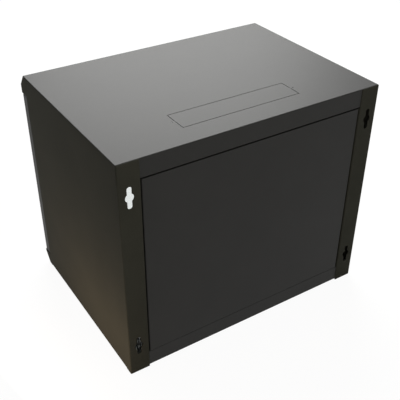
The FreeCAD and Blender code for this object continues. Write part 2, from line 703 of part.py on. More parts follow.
def bottom_panel():
    """The bottom: folded up at the rear and round the lower nose, between the side panels."""
    body = new_body("bottom_panel")
    profile = polygon(
        ("mid_rear - return_depth", "rear_flange"),
        ("mid_rear", "rear_flange"),
        ("mid_rear", "side_wall"),
        ("sill_start", "side_wall"),
        ("front", "sill_drop"),
        ("front", "sill_height"),
        ("recess", "sill_height"),
        ("recess", "sill_height - nose_stiffener"),
        ("recess - panel_wall", "sill_height - nose_stiffener"),
        ("recess - panel_wall", "sill_height - panel_wall"),
        ("front + panel_wall", "sill_height - panel_wall"),
        ("front + panel_wall", "sill_drop + panel_wall * tan((90 deg - sill_turn) / 2)"),
        ("sill_start + panel_wall * tan(sill_turn / 2)", "side_wall + panel_wall"),
        ("mid_rear - panel_wall", "side_wall + panel_wall"),
        ("mid_rear - panel_wall", "rear_flange - panel_wall"),
        ("mid_rear - return_depth", "rear_flange - panel_wall"),
    )
    pad(body, "folded_sheet", "side", "0 - mid_half", "mid_half", profile)
    round_folds(body, "outer_folds", 0, "outer_bend",
                ("mid_rear", "side_wall"), ("mid_rear", "rear_flange"),
                ("sill_start", "side_wall"), ("front", "sill_height"), ("recess", "sill_height"))
    round_folds(body, "inner_folds", 0, "bend_radius",
                ("mid_rear - panel_wall", "side_wall + panel_wall"),
                ("mid_rear - panel_wall", "rear_flange - panel_wall"),
                ("recess - panel_wall", "sill_height - panel_wall"))
    cut(body, "cable_entry", "top", *through("side_wall", "side_wall + panel_wall"), *entry_outlines())
    cut(body, "hinge_hole", "top", *through("sill_height - panel_wall", "sill_height"),
        circle("0 - pin_side", "pin_depth", "bush_radius + bush_play"))
    studs = [circle(f"{hand} * stud_side", f"{step} * stud_pitch", "slot_radius")
             for hand in SIDES.values() for step in (-1, 0, 1)]
    cut(body, "stud_holes", "top", *through("side_wall", "side_wall + panel_wall"), *studs)
    return node(body)


def entry_outlines():
    """The cable entry's opening and the relief hole outside each of its short ends."""
    opening = rectangle("0 - entry_half", "entry_half", "entry_front", "entry_rear")
    reliefs = [circle(f"{hand} * (entry_half + relief_offset)", "entry_middle", "relief_radius")
               for hand in SIDES.values()]
    return [opening, *reliefs]


def knockout(label, low):
    """The plate in a cable entry, joined to the panel by a micro-bridge at each short end."""
    body = new_body(label)
    half = "entry_half - entry_gap"
    bridge = "bridge_width / 2"
    outline = polygon(
        (f"0 - ({half})", "entry_front + entry_gap"),
        (half, "entry_front + entry_gap"),
        (half, f"entry_middle - {bridge}"),
        ("entry_half", f"entry_middle - {bridge}"),
        ("entry_half", f"entry_middle + {bridge}"),
        (half, f"entry_middle + {bridge}"),
        (half, "entry_rear - entry_gap"),
        (f"0 - ({half})", "entry_rear - entry_gap"),
        (f"0 - ({half})", f"entry_middle + {bridge}"),
        ("0 - entry_half", f"entry_middle + {bridge}"),
        ("0 - entry_half", f"entry_middle - {bridge}"),
        (f"0 - ({half})", f"entry_middle - {bridge}"),
    )
    pad(body, "plate", "top", low, f"({low}) + panel_wall", outline)
    return node(body)


def rear_panel():
    """The rear panel: a pan whose side returns turn in again, to seat on the posts' inner flanges."""
    body = new_body("rear_panel")
    profile = polygon(
        ("pan_half", "mid_rear"),
        ("pan_half", "post_seat"),
        ("pan_half - pan_flange", "post_seat"),
        ("pan_half - pan_flange", "post_seat + panel_wall"),
        ("pan_half - panel_wall", "post_seat + panel_wall"),
        ("pan_half - panel_wall", "mid_rear - panel_wall"),
        ("panel_wall - pan_half", "mid_rear - panel_wall"),
        ("panel_wall - pan_half", "post_seat + panel_wall"),
        ("pan_flange - pan_half", "post_seat + panel_wall"),
        ("pan_flange - pan_half", "post_seat"),
        ("0 - pan_half", "post_seat"),
        ("0 - pan_half", "mid_rear"),
    )
    pad(body, "pan", "top", "pan_low", "pan_top", profile)
    round_folds(body, "outer_folds", 2, "outer_bend", ("pan_half", "mid_rear"), ("0 - pan_half", "mid_rear"))
    inner = "pan_half - panel_wall"
    pad(body, "top_return", "top", "pan_top - panel_wall", "pan_top",
        rectangle(f"0 - ({inner})", inner, "mid_rear - pan_return", "mid_rear - panel_wall"))
    pad(body, "bottom_return", "top", "pan_low", "pan_low + panel_wall",
        rectangle(f"0 - ({inner})", inner, "mid_rear - pan_return", "mid_rear - panel_wall"))
    screws = [circle(f"{hand} * pan_screw_side", f"pan_middle + {step} * pan_screw_step",
                     "small_screw_radius + nut_play") for hand in SIDES.values() for step in (-1, 0, 1)]
    cut(body, "screw_holes", "front", *through("post_seat", "post_seat + panel_wall"), *screws)
    return node(body)


# ---------------------------------------------------------------------------------------------------
# Depth brackets and mounting rails
# ---------------------------------------------------------------------------------------------------

def depth_bracket(level, hand_name, middle):
    """A hat section along the side panel, slotted for the rail's clamping screws."""
    hand = SIDES[hand_name]
    body = new_body(f"{level}_bracket_{hand_name}")
    face = "bracket_in"
    face_back = "bracket_in + bracket_wall"
    foot = "web_in - bracket_wall"
    half = "bracket_height / 2"
    outline = [
        (face, f"{middle} - {half}"),
        (foot, f"{middle} - {half}"),
        (foot, f"{middle} - {half} - bracket_foot"),
        ("web_in", f"{middle} - {half} - bracket_foot"),
        ("web_in", f"{middle} - {half} + bracket_wall"),
        (face_back, f"{middle} - {half} + bracket_wall"),
        (face_back, f"{middle} + {half} - bracket_wall"),
        ("web_in", f"{middle} + {half} - bracket_wall"),
        ("web_in", f"{middle} + {half} + bracket_foot"),
        (foot, f"{middle} + {half} + bracket_foot"),
        (foot, f"{middle} + {half}"),
        (face, f"{middle} + {half}"),
    ]
    corners = [(f"{hand} * ({across})", up) for across, up in outline]
    pad(body, "hat", "front", "bracket_front", "bracket_rear", polygon(*corners))
    round_folds(body, "outer_folds", 1, "bend_radius + bracket_wall",
                (f"{hand} * {face}", f"{middle} - {half}"), (f"{hand} * {face}", f"{middle} + {half}"))
    low, high = f"{hand} * ({face})", f"{hand} * ({face_back})"
    if hand == LEFT:
        low, high = high, low
    cut(body, "slot", "side", *through(low, high),
        slot("slot_front", middle, "slot_rear", middle, "slot_radius"))
    return node(body)


def mounting_rail(hand_name):
    """A rail: punched face towards the door, web along the brackets, rear edge turned in."""
    hand = SIDES[hand_name]
    body = new_body(f"rail_{hand_name}")
    outline = [
        ("rail_inner", "rail_front"),
        ("rail_outer", "rail_front"),
        ("rail_outer", "rail_front + rail_web"),
        ("rail_outer - rail_lip", "rail_front + rail_web"),
        ("rail_outer - rail_lip", "rail_front + rail_web - rail_wall"),
        ("rail_outer - rail_wall", "rail_front + rail_web - rail_wall"),
        ("rail_outer - rail_wall", "rail_front + rail_wall"),
        ("rail_inner", "rail_front + rail_wall"),
    ]
    corners = [(f"{hand} * ({across})", deep) for across, deep in outline]
    pad(body, "section", "top", "rail_low", "rail_top", polygon(*corners))
    round_folds(body, "outer_folds", 2, "bend_radius + rail_wall",
                (f"{hand} * (rail_outer)", "rail_front"), (f"{hand} * (rail_outer)", "rail_front + rail_web"))
    round_folds(body, "inner_folds", 2, "bend_radius",
                (f"{hand} * (rail_outer - rail_wall)", "rail_front + rail_wall"),
                (f"{hand} * (rail_outer - rail_wall)", "rail_front + rail_web - rail_wall"))
    centre = f"{hand} * hole_span / 2"
    side = "hole_side / 2"
    middle = "rack_low + unit_height / 2"
    squares = [rectangle(f"{centre} - {side}", f"{centre} + {side}",
                         f"{middle} + {step} * hole_step - {side}", f"{middle} + {step} * hole_step + {side}")
               for step in (-1, 0, 1)]
    unit = cut(body, "unit_holes", "front", *through("rail_front", "rail_front + rail_wall"), *squares)
    pattern = body.newObject("PartDesign::LinearPattern", "units")
    pattern.Originals = [unit]
    pattern.Direction = (origin_feature(body, "Z_Axis"), [""])
    pattern.setExpression("Length", formula("(rack_units - 1) * unit_height"))
    pattern.setExpression("Occurrences", formula("rack_units"))
    body.Tip = pattern
    document.recompute()
    holes = [circle(f"rail_front + rail_screw_front + {step} * rail_screw_pitch", height,
                    "bolt_radius + nut_play")
             for step in (0, 1) for height in ("bracket_low_middle", "bracket_top_middle")]
    low, high = f"{hand} * (rail_outer - rail_wall)", f"{hand} * rail_outer"
    if hand == LEFT:
        low, high = high, low
    cut(body, "screw_holes", "side", *through(low, high), *holes)
    return node(body)


# ---------------------------------------------------------------------------------------------------
# Fasteners, each modelled once and set down where it is used
# ---------------------------------------------------------------------------------------------------

def pan_head_screw(label, radius, head_radius, head_height, length):
    """A screw that points along +Z from its seat at the origin: low domed head with a hex socket."""
    body = new_body(label)
    edge = f"({head_height}) * head_rim_share"
    revolve(body, "turned", polygon(
        ("0", length),
        (radius, length),
        (radius, "0"),
        (head_radius, "0"),
        (head_radius, f"0 - {edge}"),
        (f"({head_radius}) * head_crown_share", f"0 - ({head_height})"),
        ("0", f"0 - ({head_height})"),
    ))
    floor = f"({head_height}) * socket_floor_share"
    cut(body, "socket", "top", f"0 - ({head_height}) - {OVERRUN}", f"0 - {floor}",
        hexagon("0", "0", f"({head_radius}) * socket_share"))
    return body


def flange_nut(label, shank_radius):
    """A hexagon nut with a flange, standing along +Z from its seat at the origin."""
    body = new_body(label)
    bore = circle("0", "0", f"{shank_radius} + nut_play")
    pad(body, "flange", "top", "0", "nut_flange_height", circle("0", "0", "nut_flange_radius"), bore)
    pad(body, "hexagon", "top", "nut_flange_height", "nut_height", hexagon("0", "0", "nut_flats"), bore)
    return body


def plain_nut(label, flats, height, shank_radius):
    """A hexagon nut standing along +Z from its seat at the origin."""
    body = new_body(label)
    pad(body, "hexagon", "top", "0", height, hexagon("0", "0", flats),
        circle("0", "0", f"{shank_radius} + nut_play"))
    return body


def stud(label, radius, length):
    """A weld stud standing along +Z from the sheet at the origin, with a chamfered end."""
    body = new_body(label)
    tip = f"({radius}) * stud_tip_share"
    revolve(body, "turned", polygon(
        ("0", "0"),
        (radius, "0"),
        (radius, f"({length}) - {tip}"),
        (f"({radius}) - {tip}", length),
        ("0", length),
    ))
    return body


DOWN = ((1, 0, 0), 180)
TOWARDS_WALL = ((1, 0, 0), -90)


def cabinet_fasteners():
    """Studs and nuts of the top and bottom panels, rear panel screws, and the earth point."""
    top_length = "side_wall + nut_height + bolt_end"
    top_stud = stud("top_stud", "bolt_radius", top_length)
    bottom_stud = stud("bottom_stud", "bolt_radius", "panel_wall + nut_height + bolt_end")
    nut = flange_nut("flange_nut", "bolt_radius")
    rows = [(f"{hand} * stud_side", f"{step} * stud_pitch") for hand in SIDES.values() for step in (-1, 0, 1)]
    node(repeat("top_panel_studs", top_stud, [(*row, "web_top") for row in rows], *DOWN))
    node(repeat("top_panel_nuts", nut, [(*row, "web_top - side_wall") for row in rows], *DOWN))
    node(repeat("bottom_panel_studs", bottom_stud, [(*row, "side_wall") for row in rows]))
    node(repeat("bottom_panel_nuts", nut, [(*row, "side_wall + panel_wall") for row in rows]))

    screw = pan_head_screw("rear_panel_screw", "small_screw_radius", "small_head_radius",
                           "small_head_height", "small_screw_length")
    spots = [(f"{hand} * pan_screw_side", "post_front", f"pan_middle + {step} * pan_screw_step")
             for hand in SIDES.values() for step in (-1, 0, 1)]
    node(repeat("rear_panel_screws", screw, spots, *TOWARDS_WALL))

    floor = "side_wall + panel_wall"
    earth_place = ("earth_side", "rear - earth_from_rear")
    earth_stud = stud("earth_stud", "bolt_radius", "earth_length")
    place(earth_stud, *earth_place, floor)
    node(earth_stud)
    washer = new_body("earth_washer")
    pad(washer, "ring", "top", "0", "washer_wall",
        circle("0", "0", "washer_radius"), circle("0", "0", "bolt_radius + nut_play"))
    place(washer, *earth_place, floor)
    node(washer)
    earth_nut = flange_nut("earth_nut", "bolt_radius")
    place(earth_nut, *earth_place, f"{floor} + washer_wall")
    node(earth_nut)
    return nut


def rail_fasteners(hand_name, nut):
    """The clamping screws and flange nuts that travel with a rail."""
    hand = SIDES[hand_name]
    outwards = ((0, 1, 0), 90) if hand == RIGHT else ((0, 1, 0), -90)
    length = "rail_wall + slide_gap + bracket_wall + slide_gap + nut_height + bolt_end"
    screw = pan_head_screw(f"rail_screw_{hand_name}", "bolt_radius", "bolt_head_radius",
                           "bolt_head_height", length)
    rows = [(f"rail_front + rail_screw_front + {step} * rail_screw_pitch", height)
            for step in (0, 1) for height in ("bracket_low_middle", "bracket_top_middle")]
    heads = [(f"{hand} * (rail_outer - rail_wall)", deep, up) for deep, up in rows]
    nuts = [(f"{hand} * rail_nut_seat", deep, up) for deep, up in rows]
    node(repeat(f"rail_screws_{hand_name}", screw, heads, *outwards))
    node(repeat(f"rail_nuts_{hand_name}", nut, nuts, *outwards))


# ---------------------------------------------------------------------------------------------------
# Door: tray, glass, clips, buffers
# ---------------------------------------------------------------------------------------------------

def door_frame():
    """The door's tray: face sheet with a window, side walls, and a turned back edge."""
    body = new_body("door_frame")
    pad(body, "blank", "front", "door_front", "door_back",
        rectangle("0 - door_half", "door_half", "door_low", "door_top"))
    round_folds(body, "upright_folds", 2, "bend_radius + door_wall",
                ("door_half", "door_front"), ("0 - door_half", "door_front"))
    round_folds(body, "level_folds", 0, "bend_radius + door_wall",
                ("door_front", "door_low"), ("door_front", "door_top"))
    cut(body, "tray", "front", "sheet_back", f"door_back + {OVERRUN}",
        rectangle("door_wall - door_half", "door_half - door_wall",
                  "door_low + door_wall", "door_top - door_wall"))
    rim = rectangle("door_wall / 2 - door_half", "door_half - door_wall / 2",
                    "door_low + door_wall / 2", "door_top - door_wall / 2")
    opening = rectangle("door_back_flange - door_half", "door_half - door_back_flange",
                        "door_low + door_back_flange", "door_top - door_back_flange")
    pad(body, "back_edge", "front", "door_back - door_wall", "door_back", rim, opening)
    cut(body, "window", "front", *through("door_front", "sheet_back"),
        rectangle("0 - window_half", "window_half", "window_low", "window_top"))
    cut(body, "lock_hole", "front", *through("door_front", "sheet_back"),
        flatted("lock_side", "door_middle", "lock_barrel_radius + lock_hole_play",
                "lock_flat + lock_hole_play"))
    for name, low in (("upper", "door_top - door_wall"), ("lower", "door_low")):
        cut(body, f"{name}_pin_hole", "top", *through(low, f"{low} + door_wall"),
            circle("0 - pin_side", "pin_depth", "pin_radius + pin_hole_play"))
    return node(body)


def door_glazing():
    """The glass behind the window and the ring of tape that bonds it."""
    glass = new_body("door_glass")
    pad(glass, "pane", "front", "glass_front", "glass_back",
        rectangle("0 - glass_half", "glass_half", "glass_low", "glass_top"))
    node(glass)
    tape = new_body("glass_tape")
    pad(tape, "ring", "front", "sheet_back", "glass_front",
        rectangle("tape_inset - glass_half", "glass_half - tape_inset",
                  "glass_low + tape_inset", "glass_top - tape_inset"),
        rectangle("0 - window_half - tape_inset", "window_half + tape_inset",
                  "window_low - tape_inset", "window_top + tape_inset"))
    node(tape)


def glass_clips():
    """Z-shaped clips over the glass edge, each on a weld stud with a nut."""
    over = "tape_wall + glass_wall"
    riser = "clip_stud_gap - clip_riser"
    clip = new_body("glass_clip")
    outline = polygon(
        ("0 - clip_tail", "0"),
        (riser, "0"),
        (riser, over),
        ("clip_stud_gap + clip_finger", over),
        ("clip_stud_gap + clip_finger", f"{over} + clip_wall"),
        (f"{riser} - clip_wall", f"{over} + clip_wall"),
        (f"{riser} - clip_wall", "clip_wall"),
        ("0 - clip_tail", "clip_wall"),
    )
    pad(clip, "strip", "front", "0 - clip_width / 2", "clip_width / 2", outline)
    cut(clip, "stud_hole", "top", *through("0", "clip_wall"),
        circle("0", "0", "clip_stud_radius + clip_play"))
    clip_stud = stud("clip_stud", "clip_stud_radius", "clip_stud_length")
    clip_nut = plain_nut("clip_nut", "clip_nut_flats", "clip_nut_height", "clip_stud_radius")

    # Each clip's own +X points to the glass and its +Z to the inside of the cabinet.
    inward = FreeCAD.Rotation(FreeCAD.Vector(1, 0, 0), -90)
    spots = []
    for hand, turn in ((RIGHT, 180), (LEFT, 0)):
        for step in (-1, 1):
            beside = f"{hand} * (glass_half + clip_stud_gap)"
            spots.append((beside, f"door_middle + {step} * clip_side_pitch / 2", turn))
    for level, turn in (("glass_top + clip_stud_gap", 90), ("glass_low - clip_stud_gap", -90)):
        for step in (-1, 1):
            spots.append((f"{step} * clip_bar_pitch / 2", level, turn))

    def group(label, master, deep):
        places = []
        for across, up, turn in spots:
            turned = FreeCAD.Rotation(FreeCAD.Vector(0, 1, 0), turn).multiply(inward)
            places.append((across, deep, up, tuple(turned.Axis), math.degrees(turned.Angle)))
        return node(repeat(label, master, places))

    group("glass_clips", clip, "sheet_back")
    group("glass_clip_studs", clip_stud, "sheet_back")
    group("glass_clip_nuts", clip_nut, "clip_seat")


def door_buffers():
    """Rubber pads on the lock side's front flange, which the closed door almost touches."""
    pad_body = new_body("door_buffer")
    middle = "web_in - front_flange / 2"
    pad(pad_body, "block", "front", "door_back + buffer_clearance", "recess",
        rectangle(f"{middle} - buffer_width / 2", f"{middle} + buffer_width / 2",
                  "0 - buffer_height / 2", "buffer_height / 2"))
    node(repeat("door_buffers", pad_body, [
        ("0", "0", "sill_height + buffer_margin"),
        ("0", "0", "nose_low - buffer_margin"),
    ]))


# ---------------------------------------------------------------------------------------------------
# Sprung hinge pins
# ---------------------------------------------------------------------------------------------------

def hinge_bush(label):
    """A plastic bush whose sleeve stands along +Z from the face that its flange lies on."""
    body = new_body(label)
    bore = circle("0", "0", "pin_radius + pin_play")
    pad(body, "flange", "top", "0 - bush_flange_wall", "0", circle("0", "0", "bush_flange_radius"), bore)
    pad(body, "sleeve", "top", "0", "bush_length", circle("0", "0", "bush_radius"), bore)
    return node(body)


def hinge_pin(label):
    """A pin along +Z from the door's edge at the origin: chamfered tip, clip groove, cross handle."""
    body = new_body(label)
    handle = "0 - guide_drop - handle_gap - handle_radius"
    clip_low = "spring_length + guide_wall - guide_drop"
    clip_high = f"{clip_low} + clip_ring_wall + clip_ring_play"
    groove = "pin_radius - clip_ring_groove"
    revolve(body, "turned", polygon(
        ("0", f"{handle} - handle_radius"),
        ("pin_radius", f"{handle} - handle_radius"),
        ("pin_radius", clip_low),
        (groove, clip_low),
        (groove, clip_high),
        ("pin_radius", clip_high),
        ("pin_radius", "pin_reach - pin_tip"),
        ("pin_radius - pin_tip", "pin_reach"),
        ("0", "pin_reach"),
    ))
    pad(body, "handle", "side", "0", "handle_reach", circle("0", handle, "handle_radius"))
    return node(body)


def pin_guide(label):
    """An angle welded inside the door's side wall: its shelf guides the pin and carries the spring."""
    body = new_body(label)
    wall_face = "door_wall - pin_inset"
    half = "guide_width / 2"
    pad(body, "shelf", "top", "0 - guide_drop", "guide_wall - guide_drop",
        rectangle(wall_face, f"{wall_face} + guide_reach", f"0 - {half}", half))
    pad(body, "foot", "top", "0 - guide_drop - guide_foot", "0 - guide_drop",
        rectangle(wall_face, f"{wall_face} + guide_wall", f"0 - {half}", half))
    cut(body, "pin_hole", "top", *through("0 - guide_drop", "guide_wall - guide_drop"),
        circle("0", "0", "pin_radius + pin_hole_play"))
    return node(body)


def retaining_clip(label):
    """The clip in the pin's groove, which the spring pushes on."""
    body = new_body(label)
    low = "spring_length + guide_wall - guide_drop"
    pad(body, "ring", "top", low, f"{low} + clip_ring_wall",
        circle("0", "0", "clip_ring_radius"),
        circle("0", "0", "pin_radius - clip_ring_groove + clip_ring_play"))
    return node(body)


def pin_spring(label):
    """A coil of wire between the guide's shelf and the retaining clip.

    The wire's section is a hexagon carried round the helix in straight runs that meet in mitres,
    and the first and last half turns lie flat, as ground ends do.
    """
    runs_per_turn = 12
    section_sides = 6
    wire = number("spring_wire") / 2
    radius = number("spring_radius")
    turns = round(number("spring_turns"))
    length = number("spring_length")
    base = number("guide_wall - guide_drop")
    runs = turns * runs_per_turn
    flat = runs_per_turn // 2
    climb = length - 2 * wire

    def height(run):
        share = min(max(run - flat, 0) / (runs - 2 * flat), 1)
        return base + wire + climb * share

    rings = []
    for run in range(runs + 1):
        angle = 2 * math.pi * run / runs_per_turn
        outward = FreeCAD.Vector(math.cos(angle), math.sin(angle), 0)
        centre = outward * radius + FreeCAD.Vector(0, 0, height(run))
        ring = []
        for side in range(section_sides):
            turn = 2 * math.pi * (side + 0.5) / section_sides
            upward = FreeCAD.Vector(0, 0, wire * math.sin(turn))
            ring.append(centre + outward * (wire * math.cos(turn)) + upward)
        rings.append(ring)

    faces = [Part.Face(Part.makePolygon(rings[0] + rings[0][:1])),
             Part.Face(Part.makePolygon(rings[-1] + rings[-1][:1]))]
    for near, far in zip(rings, rings[1:]):
        for side in range(section_sides):
            after = (side + 1) % section_sides
            for corners in ((near[side], near[after], far[after]), (near[side], far[after], far[side])):
                faces.append(Part.Face(Part.makePolygon([*corners, corners[0]])))
    solid = Part.Solid(Part.Shell(faces))
    if solid.Volume < 0:
        solid.reverse()
    spring = document.addObject("Part::Feature", label)
    spring.Label = label
    spring.Shape = solid
    return node(spring)


def hinge(level):
    """One sprung hinge: the lower one is the upper one turned over about the door's width."""
    flip = (0, 0, 1), 0
    door_edge = "door_top"
    nose_face = "nose_low"
    if level == "lower":
        flip = (1, 0, 0), 180
        door_edge = "door_low"
        nose_face = "sill_height"
    pieces = [
        (hinge_pin(f"{level}_hinge_pin"), door_edge),
        (pin_guide(f"{level}_pin_guide"), door_edge),
        (retaining_clip(f"{level}_pin_clip"), door_edge),
        (pin_spring(f"{level}_pin_spring"), door_edge),
        (hinge_bush(f"{level}_hinge_bush"), nose_face),
    ]
    for piece, height in pieces:
        place(piece, "0 - pin_side", "pin_depth", height, *flip)


# ---------------------------------------------------------------------------------------------------
# Cam lock
# ---------------------------------------------------------------------------------------------------

def cam_lock():
    """Housing and nut on the door, plug, cam and screw that turn: all about one axis along Y."""
    housing = new_body("lock_housing")
    bore = circle("lock_side", "door_middle", "plug_radius + plug_play")
    pad(housing, "ring", "front", "door_front - lock_ring_height", "door_front",
        circle("lock_side", "door_middle", "lock_ring_radius"), bore)
    pad(housing, "barrel", "front", "door_front", "barrel_end",
        flatted("lock_side", "door_middle", "lock_barrel_radius", "lock_flat"), bore)
    node(housing)

    nut = new_body("lock_nut")
    pad(nut, "hexagon", "front", "sheet_back", "sheet_back + lock_nut_height",
        hexagon("lock_side", "door_middle", "lock_nut_flats"),
        circle("lock_side", "door_middle", "lock_barrel_radius + lock_hole_play"))
    node(nut)

    plug = new_body("lock_plug")
    face = "door_front - lock_ring_height + plug_recess"
    square = "cam_square / 2"
    pad(plug, "cylinder", "front", face, "cam_front", circle("lock_side", "door_middle", "plug_radius"))
    pad(plug, "square_end", "front", "cam_front", "cam_back",
        rectangle(f"lock_side - {square}", f"lock_side + {square}",
                  f"door_middle - {square}", f"door_middle + {square}"))
    cut(plug, "keyway", "front", f"{face} - {OVERRUN}", f"{face} + keyway_depth",
        rectangle("lock_side - keyway_width / 2", "lock_side + keyway_width / 2",
                  "door_middle - keyway_length / 2", "door_middle + keyway_length / 2"))
    node(plug)

    cam = new_body("lock_cam")
    hole = f"{square} + cam_square_play"
    half = "cam_width / 2"
    pad(cam, "plate", "front", "cam_front", "cam_back",
        rectangle(f"lock_side - {half}", f"lock_side + {half}",
                  f"door_middle - {half}", "door_middle + cam_reach"),
        rectangle(f"lock_side - ({hole})", f"lock_side + {hole}",
                  f"door_middle - ({hole})", f"door_middle + {hole}"))
    for name, end in (("tip", "door_middle + cam_reach"), ("heel", f"door_middle - {half}")):
        round_folds(cam, name, 1, f"{half} * cam_corner_share",
                    (f"lock_side - {half}", end), (f"lock_side + {half}", end))
    node(cam)

    screw = new_body("cam_screw")
    pad(screw, "head", "front", "cam_back", "cam_back + cam_screw_height",
        circle("lock_side", "door_middle", "cam_screw_radius"))
    head_end = "cam_back + cam_screw_height"
    cut(screw, "socket", "front", "cam_back + cam_screw_height / 2", f"{head_end} + {OVERRUN}",
        hexagon("lock_side", "door_middle", "cam_screw_radius"))
    node(screw)


# ---------------------------------------------------------------------------------------------------
# The whole cabinet
# ---------------------------------------------------------------------------------------------------

for side_name in SIDES:
    side_panel(side_name)
top_panel()
bottom_panel()
rear_panel()
knockout("top_cable_knockout", "web_top")
knockout("bottom_cable_knockout", "side_wall")
for side_name in SIDES:
    depth_bracket("upper", side_name, "bracket_top_middle")
    depth_bracket("lower", side_name, "bracket_low_middle")
panel_nut = cabinet_fasteners()
for side_name in SIDES:
    mounting_rail(side_name)
    rail_fasteners(side_name, panel_nut)
door_frame()
door_glazing()
glass_clips()
door_buffers()
hinge("upper")
hinge("lower")
cam_lock()
document.recompute()


def check_document():
    """Stop if anything failed, or if a cut took nothing away."""
    failed = [thing.Name for thing in document.Objects if "Invalid" in thing.State or "Error" in thing.State]
    if failed:
        raise RuntimeError(f"These failed: {failed}")
    for thing in document.Objects:
        if thing.TypeId == "PartDesign::Pocket":
            if thing.Shape.Volume >= thing.BaseFeature.Shape.Volume - 1e-6:
                raise RuntimeError(f"{thing.Name} cuts nothing")


def write_nodes():
    """Write each finished piece to its own file."""
    os.makedirs("parts", exist_ok=True)
    for piece in NODES:
        shape = piece.Shape
        if shape.isNull() or not shape.isValid():
            raise RuntimeError(f"{piece.Label} has no valid shape")
        shape.exportStep(f"parts/{piece.Label}.step")
        print(f"{piece.Label}: {len(shape.Solids)} solid(s), {shape.Volume:.0f} mm3")


check_document()
write_nodes()
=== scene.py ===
import math

import bpy
import numpy as np
from bpy.props import FloatProperty, FloatVectorProperty, IntProperty, PointerProperty
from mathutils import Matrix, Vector


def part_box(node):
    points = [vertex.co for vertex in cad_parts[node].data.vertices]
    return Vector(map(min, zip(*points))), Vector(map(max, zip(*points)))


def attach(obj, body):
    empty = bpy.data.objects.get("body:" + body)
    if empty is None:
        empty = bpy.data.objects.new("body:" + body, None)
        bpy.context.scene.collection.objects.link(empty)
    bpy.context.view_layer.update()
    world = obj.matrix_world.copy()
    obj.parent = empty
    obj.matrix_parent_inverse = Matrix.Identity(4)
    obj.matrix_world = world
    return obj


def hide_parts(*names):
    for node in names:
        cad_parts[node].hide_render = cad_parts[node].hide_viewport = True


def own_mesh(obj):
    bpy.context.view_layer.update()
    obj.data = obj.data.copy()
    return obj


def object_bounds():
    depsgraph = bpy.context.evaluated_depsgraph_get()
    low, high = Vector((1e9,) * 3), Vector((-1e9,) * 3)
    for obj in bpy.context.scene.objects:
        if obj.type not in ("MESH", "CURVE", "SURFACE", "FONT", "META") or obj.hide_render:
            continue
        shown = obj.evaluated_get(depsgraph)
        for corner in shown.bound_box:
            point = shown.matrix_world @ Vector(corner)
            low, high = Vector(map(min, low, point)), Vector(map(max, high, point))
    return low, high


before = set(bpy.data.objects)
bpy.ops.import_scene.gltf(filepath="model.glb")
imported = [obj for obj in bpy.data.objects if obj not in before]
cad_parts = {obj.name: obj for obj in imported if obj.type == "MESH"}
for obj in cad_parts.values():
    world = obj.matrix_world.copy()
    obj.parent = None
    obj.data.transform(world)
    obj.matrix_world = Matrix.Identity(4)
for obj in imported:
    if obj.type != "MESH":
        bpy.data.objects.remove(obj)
CAD_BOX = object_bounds()

bl_info = {
    "name": "Wall cabinet finish",
    "version": (1, 0, 0),
    "blender": (4, 5, 0),
    "location": "View3D > Sidebar > Cabinet",
    "description": "Coats, platings, glass, threads and springs of a wall mount network cabinet",
    "category": "Object",
}

MM = 0.001
FULL_TURN = 2.0 * math.pi
# Radii of the M6 and M4 weld studs, and the length of a door buffer, as in the frame.
THICK_STUD = 3.0 * MM
THIN_STUD = 2.0 * MM
BUFFER_LENGTH = 24.0 * MM
# The floor's gap under the cabinet, how far inside its outline the floor goes dark, and the floor's own glow.
FLOOR_DROP = 0.2 * MM
COVER_MARGIN = 10.0 * MM
PAPER_GLOW = 0.94
# The camera's sensor in mm.
SENSOR_WIDTH = 36.0


# ---------------------------------------------------------------------------------------------------
# Colours and nodes
# ---------------------------------------------------------------------------------------------------

def srgb(text):
    """Linear red, green and blue of an sRGB hex colour."""
    parts = np.array([int(text[i:i + 2], 16) for i in (1, 3, 5)]) / 255.0
    return tuple(np.where(parts <= 0.04045, parts / 12.92, ((parts + 0.055) / 1.055) ** 2.4))


def shade(colour, share=1.0):
    """A colour made lighter or darker by a share, with the alpha that a colour socket wants."""
    return tuple(part * share for part in colour) + (1.0,)


def add(tree, kind, sockets=None, **settings):
    """Adds a shader node. Settings are its own properties. Sockets are its inputs in use, by name or by
    place, each set to a value, or linked to a socket or to another node's first output in use."""
    node = tree.nodes.new("ShaderNode" + kind)
    for name, value in settings.items():
        setattr(node, name, value)
    inputs = [socket for socket in node.inputs if socket.enabled]
    for key, value in (sockets or {}).items():
        target = inputs[key] if isinstance(key, int) else next(s for s in inputs if s.name == key)
        if isinstance(value, bpy.types.Node):
            value = next(socket for socket in value.outputs if socket.enabled)
        if isinstance(value, bpy.types.NodeSocket):
            tree.links.new(value, target)
        else:
            target.default_value = value
    return node


def start(name):
    """A new material with an empty tree, and its Object coordinates."""
    material = bpy.data.materials.new(name)
    material.use_nodes = True
    material.node_tree.nodes.clear()
    return material, material.node_tree, add(material.node_tree, "TexCoord").outputs["Object"]


def thin_edges(tree, radius):
    """Normals that read every edge as rounded to this radius, and how far each spot is turned by that."""
    turned = add(tree, "Bevel", {"Radius": radius}, samples=6)
    face = add(tree, "NewGeometry").outputs["True Normal"]
    same = add(tree, "VectorMath", {0: turned, 1: face}, operation="DOT_PRODUCT")
    return turned, add(tree, "MapRange", {"Value": same, "From Min": 0.995, "From Max": 0.80})


def dress(material, *names):
    """Gives CAD nodes one material."""
    for name in names:
        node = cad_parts[name]
        if not node.material_slots:
            node.data.materials.append(material)
        for slot in node.material_slots:
            slot.material = material


# ---------------------------------------------------------------------------------------------------
# Surfaces
# ---------------------------------------------------------------------------------------------------

